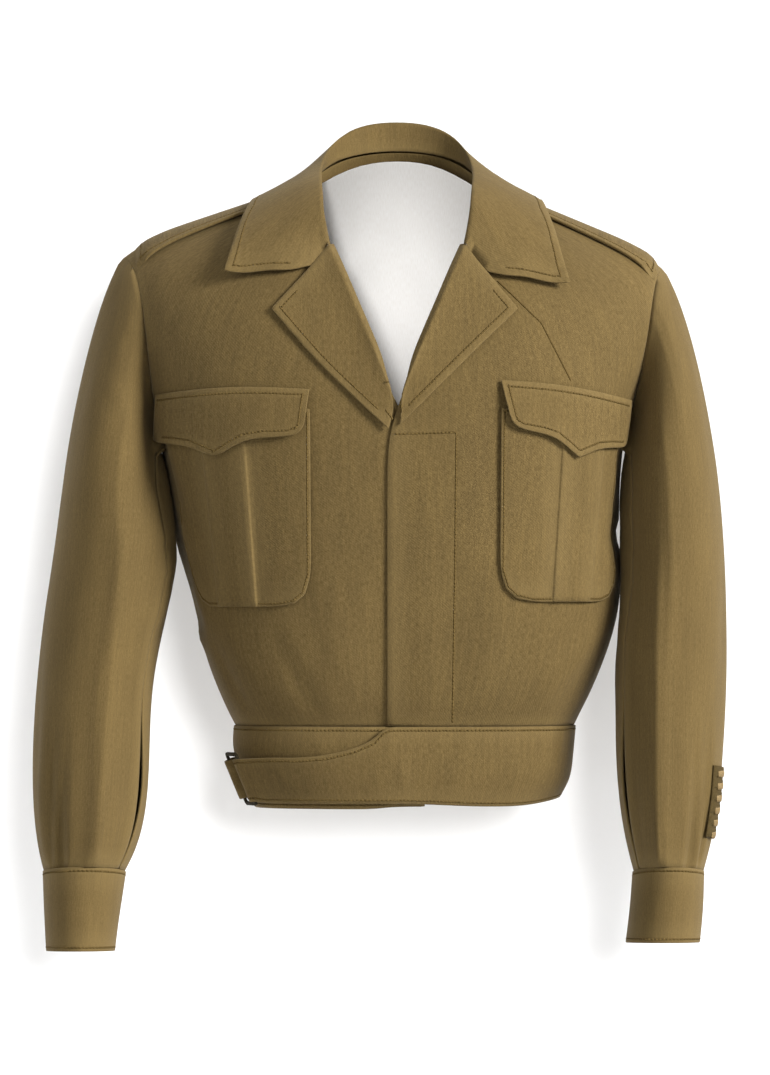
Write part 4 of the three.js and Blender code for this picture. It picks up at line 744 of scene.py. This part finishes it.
# Each cloth piece: how it creases, how its grain runs and its cloth where that isn't the plain serge.
# A piece stands after those that it is sewn to.
SHELLS = [
    {"node": "front_right", "relief": body_relief, "around": body_cloth},
    {"node": "front_left", "relief": body_relief, "around": body_cloth},
    {"node": "back", "relief": body_relief, "around": body_cloth},
    {"node": "back_lining", "relief": lining_relief, "around": flat_cloth, "material": LINING},
    {"node": "lapel_right", "relief": body_relief, "around": flat_cloth, "material": TRIM_SERGE},
    {"node": "lapel_left", "relief": body_relief, "around": flat_cloth, "material": TRIM_SERGE},
    {"node": "collar", "relief": collar_relief, "around": body_cloth, "material": TRIM_SERGE},
    {"node": "sleeve_top_right", "relief": arm_relief("right"), "around": arm_cloth("right")},
    {"node": "sleeve_under_right", "relief": arm_relief("right"), "around": arm_cloth("right")},
    {"node": "sleeve_top_left", "relief": arm_relief("left"), "around": arm_cloth("left")},
    {"node": "sleeve_under_left", "relief": arm_relief("left"), "around": arm_cloth("left")},
    {"node": "cuff_right", "relief": no_relief, "around": arm_cloth("right")},
    {"node": "cuff_left", "relief": no_relief, "around": arm_cloth("left")},
    {"node": "shoulder_strap_right", "relief": strap_relief, "around": flat_cloth},
    {"node": "shoulder_strap_left", "relief": strap_relief, "around": flat_cloth},
    {"node": "pocket_right", "relief": body_relief, "around": body_cloth},
    {"node": "pocket_left", "relief": body_relief, "around": body_cloth},
    {"node": "flap_right", "relief": body_relief, "around": flat_cloth, "material": TRIM_SERGE},
    {"node": "flap_left", "relief": body_relief, "around": flat_cloth, "material": TRIM_SERGE},
    {"node": "waistband_back", "relief": band_relief, "around": body_cloth},
    {"node": "waistband_right", "relief": band_relief, "around": body_cloth},
    {"node": "waistband_left", "relief": band_relief, "around": body_cloth},
    {"node": "buckle_tab", "relief": no_relief, "around": body_cloth},
]

for row in SHELLS:
    shell = cloth_shell(row["node"], row["relief"], row["around"], row.get("material", SERGE))
    declare(shell, "lining" if row["node"] == "back_lining" else "serge", row["node"])
    shells[row["node"]] = shell

# Sewing
STITCH_LENGTH = 2.4 * MM
STITCH_WIDTH = 0.8 * MM
STITCH_HEIGHT = 0.6 * MM
STITCH_PITCH = 3.1 * MM
# Size of the flat darker spot under each stitch, painted shade of its groove
GROOVE_SHADE_LENGTH = 5.2 * MM
GROOVE_SHADE_WIDTH = 2.0 * MM
GROOVE_SHADE_HEIGHT = 0.16 * MM
SEAM_PITCH = 1.9 * MM
CORNER_SHARE = 0.9
OUTER_FACING = 0.3
SAME_FACING = 0.6
COVER_LIFT = 1.0 * MM
COVER_REACH = 30 * MM
AHEAD_Y = -1.0


groove_shade = bmesh.new()
all_cloth = cloth_tree(shells.values())
reliefs = {row["node"]: row["relief"] for row in SHELLS}


def covered(place, normal):
    """Whether other cloth lies over a spot."""
    hit = all_cloth.ray_cast(place + normal * COVER_LIFT, normal, COVER_REACH)
    return hit[0] is not None


def sew_spot(bm, place, along, normal):
    """One stitch that lies on the cloth, over a flat darker spot that is painted shade of the stitch's
    groove.
    """
    across = normal.cross(along).normalized()
    turn = Matrix((across.cross(normal), across, normal)).transposed().to_4x4()
    size = Matrix.Diagonal((STITCH_LENGTH / 2, STITCH_WIDTH / 2, STITCH_HEIGHT / 2, 1))
    flat = Matrix.Diagonal((GROOVE_SHADE_LENGTH / 2, GROOVE_SHADE_WIDTH / 2, GROOVE_SHADE_HEIGHT / 2, 1))
    at = Matrix.Translation(place) @ turn
    bmesh.ops.create_icosphere(bm, subdivisions=1, radius=1, matrix=at @ size)
    bmesh.ops.create_icosphere(groove_shade, subdivisions=1, radius=1, matrix=at @ flat)


def outer_edges(node, outward):
    """Where a piece's outer face meets its cut edge: both ends, the way in and the face's normal."""
    bm = cloth_cage(node)
    rims = set(rim_faces(bm))
    edges = []
    for edge in bm.edges:
        cloth = [face for face in edge.link_faces if face not in rims]
        if len(edge.link_faces) != 2 or len(cloth) != 1:
            continue
        middle = cloth[0].calc_center_median()
        normal = cloth[0].normal.copy()
        if normal.dot(outward(middle)) < OUTER_FACING:
            continue
        start, end = (vert.co.copy() for vert in edge.verts)
        inward = normal.cross(end - start).normalized()
        if inward.dot(middle - start) < 0:
            inward.negate()
        edges.append({"start": start, "end": end, "inward": inward, "normal": normal})
    bm.free()
    return edges


def gap_to(edge, place):
    """The distance from a place to an edge."""
    run = edge["end"] - edge["start"]
    share = min(max((place - edge["start"]).dot(run) / run.length_squared, 0), 1)
    return (place - edge["start"] - run * share).length


def sew_edges(bm, node, inset, outward, wanted):
    """A row of stitches along the wanted edges of a piece, at an even distance from them."""
    tree = cloth_tree([shells[node]])
    edges = [edge for edge in outer_edges(node, outward) if wanted(edge)]
    for edge in edges:
        run = edge["end"] - edge["start"]
        count = max(1, round(run.length / STITCH_PITCH))
        for i in range(count):
            place = edge["start"] + run * ((i + 0.5) / count) + edge["inward"] * inset
            if min(gap_to(other, place) for other in edges) < inset * CORNER_SHARE:
                continue
            lifted = place + reliefs[node](place) + edge["normal"] * COVER_LIFT
            spot, normal, _, _ = tree.find_nearest(lifted)
            if normal.dot(edge["normal"]) > SAME_FACING and not covered(spot, normal):
                sew_spot(bm, spot, run.normalized(), normal)


def sew_line(bm, node, corners, pitch):
    """Stitches along lines between corners of x and z, on the cloth as it is met from in front."""
    tree = cloth_tree([shells[node]])
    for first, last in zip(corners, corners[1:]):
        start = Vector((first["x"] * MM, AHEAD_Y, first["z"] * MM))
        run = Vector((last["x"] * MM, AHEAD_Y, last["z"] * MM)) - start
        count = max(1, round(run.length / pitch))
        for i in range(count):
            spot, normal, _, _ = tree.ray_cast(start + run * ((i + 0.5) / count), Vector((0, 1, 0)))
            if spot is not None and not covered(spot, normal):
                sew_spot(bm, spot, run.normalized(), normal)


NOTCH_Z = -60.5 * MM
LAPEL_INWARD_MOST = 0.2
LAPEL_FRONT_FACING = 0.6
PLEAT_FROM_X = 98 * MM
PLEAT_TO_X = 177 * MM
COLLAR_FREE_X = 85 * MM
COLLAR_FREE_Y = 20 * MM
# An edge runs level where the way into its piece is mostly upright, and upright where it is mostly sideways
MOSTLY = 0.5


def strap_outward(point):
    return Vector((0, 0, 1))


def arm_outward(side):
    def outward(point):
        return (point - arm_centre(side, point)).normalized()
    return outward


def every_edge(edge):
    return True


def level_edge(edge):
    return abs(edge["inward"].z) > MOSTLY


def free_lapel_edge(edge):
    """The lapel's outer edge below the notch, not its roll."""
    toward_centre = edge["inward"].x * math.copysign(1, edge["start"].x) < LAPEL_INWARD_MOST
    below_notch = max(edge["start"].z, edge["end"].z) < NOTCH_Z
    return toward_centre and below_notch and edge["normal"].y < -LAPEL_FRONT_FACING


def pocket_border(edge):
    """The pocket's own border, not the edges of its pleat."""
    at_pleat = PLEAT_FROM_X < abs(edge["start"].x) < PLEAT_TO_X
    return not (at_pleat and abs(edge["inward"].x) > MOSTLY)


def free_collar_edge(edge):
    """The fall's edge outside the lapels and round the back."""
    return abs(edge["start"].x) > COLLAR_FREE_X or edge["start"].y > COLLAR_FREE_Y


# The stitched edges: how far in the stitches run, in millimetres, and which edges have them
EDGE_ROWS = [
    {"node": "collar", "inset": 6, "wanted": free_collar_edge},
    {"node": "lapel_right", "inset": 6, "wanted": free_lapel_edge},
    {"node": "lapel_left", "inset": 6, "wanted": free_lapel_edge},
    {"node": "flap_right", "inset": 5, "wanted": every_edge},
    {"node": "flap_left", "inset": 5, "wanted": every_edge},
    {"node": "pocket_right", "inset": 2.4, "wanted": pocket_border},
    {"node": "pocket_left", "inset": 2.4, "wanted": pocket_border},
    {"node": "waistband_right", "inset": 3, "wanted": level_edge},
    {"node": "waistband_left", "inset": 3, "wanted": level_edge},
    {"node": "waistband_back", "inset": 3, "wanted": level_edge},
    {"node": "shoulder_strap_right", "inset": 5, "outward": strap_outward, "wanted": every_edge},
    {"node": "shoulder_strap_left", "inset": 5, "outward": strap_outward, "wanted": every_edge},
    {"node": "cuff_right", "inset": 3, "outward": arm_outward("right"), "wanted": level_edge},
    {"node": "cuff_left", "inset": 3, "outward": arm_outward("left"), "wanted": level_edge},
]
# Corners of stitched lines on the left front, in millimetres
FLY_LINE = [{"x": -2, "z": -191.5}, {"x": 49, "z": -190}, {"x": 48, "z": -300}, {"x": 46, "z": -431}]
DART_LINE = [{"x": 84, "z": -64}, {"x": 120, "z": -99}, {"x": 144, "z": -146}]

stitching = bmesh.new()
for row in EDGE_ROWS:
    outward = row.get("outward", body_outward)
    sew_edges(stitching, row["node"], row["inset"] * MM, outward, row["wanted"])
sew_line(stitching, "front_left", FLY_LINE, STITCH_PITCH)
declare(mesh_object("topstitching", stitching, THREAD), "serge")

# The dart is drawn as a close row of darker spots: painted shade of its seam's ditch
dart = bmesh.new()
sew_line(dart, "front_left", DART_LINE, SEAM_PITCH)
declare(mesh_object("dart_seam", dart, SEAM_SHADE), "serge")
# The darker spots under the stitches are painted shade of their grooves
declare(mesh_object("stitch_groove_shade_spots", groove_shade, STITCH_GROOVE_SHADE), "serge")


# Small hard parts and the embroidered patch
BUCKLE_EDGE = 0.5 * MM
SHARP_EDGE = math.radians(30)
FLAT_ANGLE = math.radians(2)


def merged_copy(node):
    """A node's own faces as one merged mesh."""
    bm = bmesh.new()
    bm.from_mesh(frame["nodes"][node].data)
    bmesh.ops.remove_doubles(bm, verts=bm.verts, dist=MERGE_DISTANCE)
    bm.normal_update()
    return bm


def rounded_buckle():
    """The buckle's own form with its sharp edges rounded."""
    bm = merged_copy("buckle")
    bmesh.ops.dissolve_limit(bm, angle_limit=FLAT_ANGLE, verts=bm.verts, edges=bm.edges)
    sharp = [edge for edge in bm.edges if edge.is_manifold and edge.calc_face_angle() > SHARP_EDGE]
    bmesh.ops.bevel(
        bm, geom=sharp, offset=BUCKLE_EDGE, segments=2, profile=0.5, affect="EDGES", material=-1,
    )
    return mesh_object("slide_buckle", bm, DARK_METAL)


declare(rounded_buckle(), "buckle_metal", "buckle")

# A button's half outline: distance from its middle and height, in millimetres
BUTTON_PROFILE = [
    {"radius": 0, "height": 0.45},
    {"radius": 3.6, "height": 0.4},
    {"radius": 4.8, "height": 0.9},
    {"radius": 6.1, "height": 1.3},
    {"radius": 7.1, "height": 1.05},
    {"radius": 7.5, "height": 0.2},
    {"radius": 7.2, "height": -0.8},
    {"radius": 6.2, "height": -1.3},
    {"radius": 0, "height": -1.3},
]
BUTTON_STEPS = 40
HOLE_AWAY = 1.5 * MM
HOLE_RADIUS = 0.6 * MM
THREAD_RADIUS = 0.45 * MM
THREAD_HEIGHT = 0.5 * MM
THREAD_SIDES = 10
THREAD_TURNS = (45, 135)


def face_area(face):
    return face.calc_area()


def button_place(side):
    """Where the CAD button sits: its middle, with its face's normal as the third axis."""
    bm = merged_copy("cuff_button_" + side)
    middle = sum((vert.co for vert in bm.verts), Vector()) / len(bm.verts)
    outward = max(bm.faces, key=face_area).normal.copy()
    bm.free()
    if outward.dot(arm_outward(side)(middle)) < 0:
        outward.negate()
    return Matrix.Translation(middle) @ outward.to_track_quat("Z", "Y").to_matrix().to_4x4()


def cuff_button(side):
    """A dished horn button that is sewn on with two crossed threads."""
    place = button_place(side)
    bm = bmesh.new()
    spots = [bm.verts.new((row["radius"] * MM, 0, row["height"] * MM)) for row in BUTTON_PROFILE]
    line = [bm.edges.new(pair) for pair in zip(spots, spots[1:])]
    bmesh.ops.spin(
        bm, geom=spots + line, cent=(0, 0, 0), axis=(0, 0, 1), dvec=(0, 0, 0),
        angle=math.tau, steps=BUTTON_STEPS, use_merge=True,
    )
    bmesh.ops.remove_doubles(bm, verts=bm.verts, dist=MERGE_DISTANCE)
    bmesh.ops.recalc_face_normals(bm, faces=bm.faces)
    bm.transform(place)
    declare(mesh_object("horn_button_" + side, bm, HORN), "button", "cuff_button_" + side)
    threads = bmesh.new()
    for turn in THREAD_TURNS:
        lie = Matrix.Rotation(math.radians(turn), 4, "Z") @ Matrix.Rotation(math.radians(90), 4, "Y")
        bmesh.ops.create_cone(
            threads, cap_ends=True, segments=THREAD_SIDES, radius1=THREAD_RADIUS, radius2=THREAD_RADIUS,
            depth=2 * HOLE_AWAY + 2 * HOLE_RADIUS,
            matrix=place @ Matrix.Translation((0, 0, THREAD_HEIGHT)) @ lie,
        )
    declare(mesh_object("button_thread_" + side, threads, THREAD), "button")


cuff_button("right")
cuff_button("left")

# The patch's six bars: raised metal threads that lie side by side across each bar
BARS = {"count": 6, "top_z": -469, "bottom_z": -530, "front_turn": 38, "rear_turn": 12}
BAR_THREADS = 19
BAR_ENDS = 0.1
BAR_THREAD = {"length": 5.9 * MM, "width": 1.35 * MM, "height": 1.5 * MM}
BAR_SINK = 0.15 * MM
BAR_UNEVEN = 0.06
UNEVEN_STEPS = {"thread": 2.4, "bar": 1.7}
RAY_AWAY = 200 * MM


def patch_ground():
    bm = merged_copy("service_bars")
    bmesh.ops.subdivide_edges(bm, edges=bm.edges, cuts=1, use_grid_fill=True)
    return mesh_object("patch_ground", bm, PATCH_FELT)


def bar_threads(patch):
    tree = cloth_tree([patch])
    bm = bmesh.new()
    for bar in range(BARS["count"]):
        up = (bar + 0.5) / BARS["count"]
        height = BARS["bottom_z"] + up * (BARS["top_z"] - BARS["bottom_z"])
        for step in range(BAR_THREADS):
            share = BAR_ENDS + (1 - 2 * BAR_ENDS) * step / (BAR_THREADS - 1)
            turn = math.radians(BARS["front_turn"] + share * (BARS["rear_turn"] - BARS["front_turn"]))
            ray = Vector((-math.cos(turn), math.sin(turn), 0))
            start = arm_centre("left", Vector((0, 0, height * MM))) - ray * RAY_AWAY
            spot, normal, _, _ = tree.ray_cast(start, ray)
            if spot is None:
                continue
            up_cloth = (Vector((0, 0, 1)) - normal * normal.z).normalized()
            frame_turn = Matrix((normal.cross(up_cloth), up_cloth, normal)).transposed().to_4x4()
            wave = math.sin(step * UNEVEN_STEPS["thread"] + bar * UNEVEN_STEPS["bar"])
            uneven = 1 + BAR_UNEVEN * wave
            size = Matrix.Diagonal((
                BAR_THREAD["width"] / 2, BAR_THREAD["length"] / 2 * uneven, BAR_THREAD["height"] / 2, 1,
            ))
            bmesh.ops.create_icosphere(
                bm, subdivisions=2, radius=1,
                matrix=Matrix.Translation(spot - normal * BAR_SINK) @ frame_turn @ size,
            )
    return mesh_object("bar_threads", bm, BULLION)


patch = patch_ground()
declare(patch, "embroidery", "service_bars")
declare(bar_threads(patch), "embroidery")


# Stage, light and camera

FLOOR_Z = -800 * MM
WALL_Y = 165 * MM
STAGE_HALF = 6.0


PAPER_SURFACE = {"Base Color": (0.92, 0.92, 0.92, 1), "Roughness": 0.9, "Specular IOR Level": 0.1}


def paper(name):
    """Plain white paper. Only its face shows, so that the jacket can be seen from behind it."""
    material, nodes, links, shader = new_material(name)
    fill_in(shader, PAPER_SURFACE)
    geometry = nodes.new("ShaderNodeNewGeometry")
    clear = nodes.new("ShaderNodeBsdfTransparent")
    either = nodes.new("ShaderNodeMixShader")
    links.new(geometry.outputs["Backfacing"], either.inputs["Fac"])
    links.new(shader.outputs["BSDF"], either.inputs[1])
    links.new(clear.outputs["BSDF"], either.inputs[2])
    links.new(either.outputs["Shader"], nodes["Material Output"].inputs["Surface"])
    return material


def stage_sheet(name, matrix, material):
    bm = bmesh.new()
    bmesh.ops.create_grid(bm, x_segments=1, y_segments=1, size=STAGE_HALF, matrix=matrix)
    sheet = mesh_object(name, bm, material)
    return sheet


floor = stage_sheet("floor", Matrix.Translation((0, 0, FLOOR_Z)), paper("floor_paper"))
wall_turn = Matrix.Rotation(math.radians(90), 4, "X")
backdrop = stage_sheet("backdrop", Matrix.Translation((0, WALL_Y, 0)) @ wall_turn, paper("wall_paper"))


def aim_back(obj, away):
    """Turns a lamp so that it shines against a direction."""
    obj.rotation_mode = "QUATERNION"
    obj.rotation_quaternion = away.to_track_quat("Z", "Y")
    return obj


def soft_sun(name, strength, angle, colour, from_place):
    """A broad soft light from one direction."""
    lamp = bpy.data.lights.new(name, "SUN")
    lamp.energy = strength
    lamp.angle = math.radians(angle)
    lamp.color = colour
    return aim_back(link(bpy.data.objects.new(name, lamp)), Vector(from_place))


key = soft_sun("key", 6.0, 22, (1.0, 0.985, 0.95), (1.45, -1.0, 0.72))
fill = soft_sun("fill", 0.8, 60, (0.97, 0.98, 1.0), (-0.7, -1.0, 0.3))
soft_sun("rim", 0.5, 60, (1.0, 1.0, 1.0), (-0.4, 0.9, 0.8))
paper_light = soft_sun("paper_light", 2.3, 14, (1.0, 1.0, 1.0), (0.20, -1.0, 0.17))
paper_fill = soft_sun("paper_fill", 1.6, 60, (1.0, 1.0, 1.0), (0, -1.0, 0.3))
paper_fill.data.use_shadow = False

# The papers have their own light, so that the shadows on them stay faint and close
papers = bpy.data.collections.new("papers")
papers.objects.link(floor)
papers.objects.link(backdrop)
cloth_and_trims = bpy.data.collections.new("cloth_and_trims")
for obj in bpy.context.scene.objects:
    if obj.type == "MESH" and obj not in (floor, backdrop, shells["back_lining"]):
        cloth_and_trims.objects.link(obj)
key.light_linking.receiver_collection = cloth_and_trims
fill.light_linking.receiver_collection = cloth_and_trims
paper_light.light_linking.receiver_collection = papers
paper_fill.light_linking.receiver_collection = papers

# A narrow lamp through the neck for the pale lining
NECK_LAMP = {"energy": 160, "place": (-0.14, -1.6, 0.16), "aim": (0.0, 0.08, -0.06)}
NECK_LAMP_ANGLE = 8
NECK_LAMP_BLEND = 0.6
NECK_LAMP_SIZE = 0.12
lining_only = bpy.data.collections.new("lining_only")
lining_only.objects.link(shells["back_lining"])
neck_data = bpy.data.lights.new("neck_lamp", "SPOT")
neck_data.energy = NECK_LAMP["energy"]
neck_data.spot_size = math.radians(NECK_LAMP_ANGLE)
neck_data.spot_blend = NECK_LAMP_BLEND
neck_data.shadow_soft_size = NECK_LAMP_SIZE
neck_lamp = link(bpy.data.objects.new("neck_lamp", neck_data))
neck_lamp.location = NECK_LAMP["place"]
aim_back(neck_lamp, Vector(NECK_LAMP["place"]) - Vector(NECK_LAMP["aim"]))
neck_lamp.light_linking.receiver_collection = lining_only

ROOM_LIGHT = 0.27
world = bpy.data.worlds.new("studio")
world.use_nodes = True
fill_in(world.node_tree.nodes["Background"], {"Color": (1, 1, 1, 1), "Strength": ROOM_LIGHT})
bpy.context.scene.world = world
bpy.context.scene.view_settings.view_transform = "Standard"
bpy.context.scene.view_settings.look = "None"

# The picture shows 896 mm from top to bottom at the depth of the chest
CAMERA_DISTANCE = 8.0
VIEW_HEIGHT = 896 * MM
VIEW_X = -10 * MM
VIEW_Z = -277 * MM
SIGHT_Y = -60 * MM
SENSOR = 36.0
CLIP_END = 50

camera_data = bpy.data.cameras.new("camera")
camera_data.sensor_width = SENSOR
camera_data.lens = SENSOR * CAMERA_DISTANCE / VIEW_HEIGHT
camera = link(bpy.data.objects.new("camera", camera_data))
camera.location = (VIEW_X, SIGHT_Y - CAMERA_DISTANCE, VIEW_Z)
camera.rotation_euler = (math.radians(90), 0, 0)
camera_data.clip_end = CLIP_END
bpy.context.scene.camera = camera


def corners(bounds):
    return [list(corner) for corner in bounds]
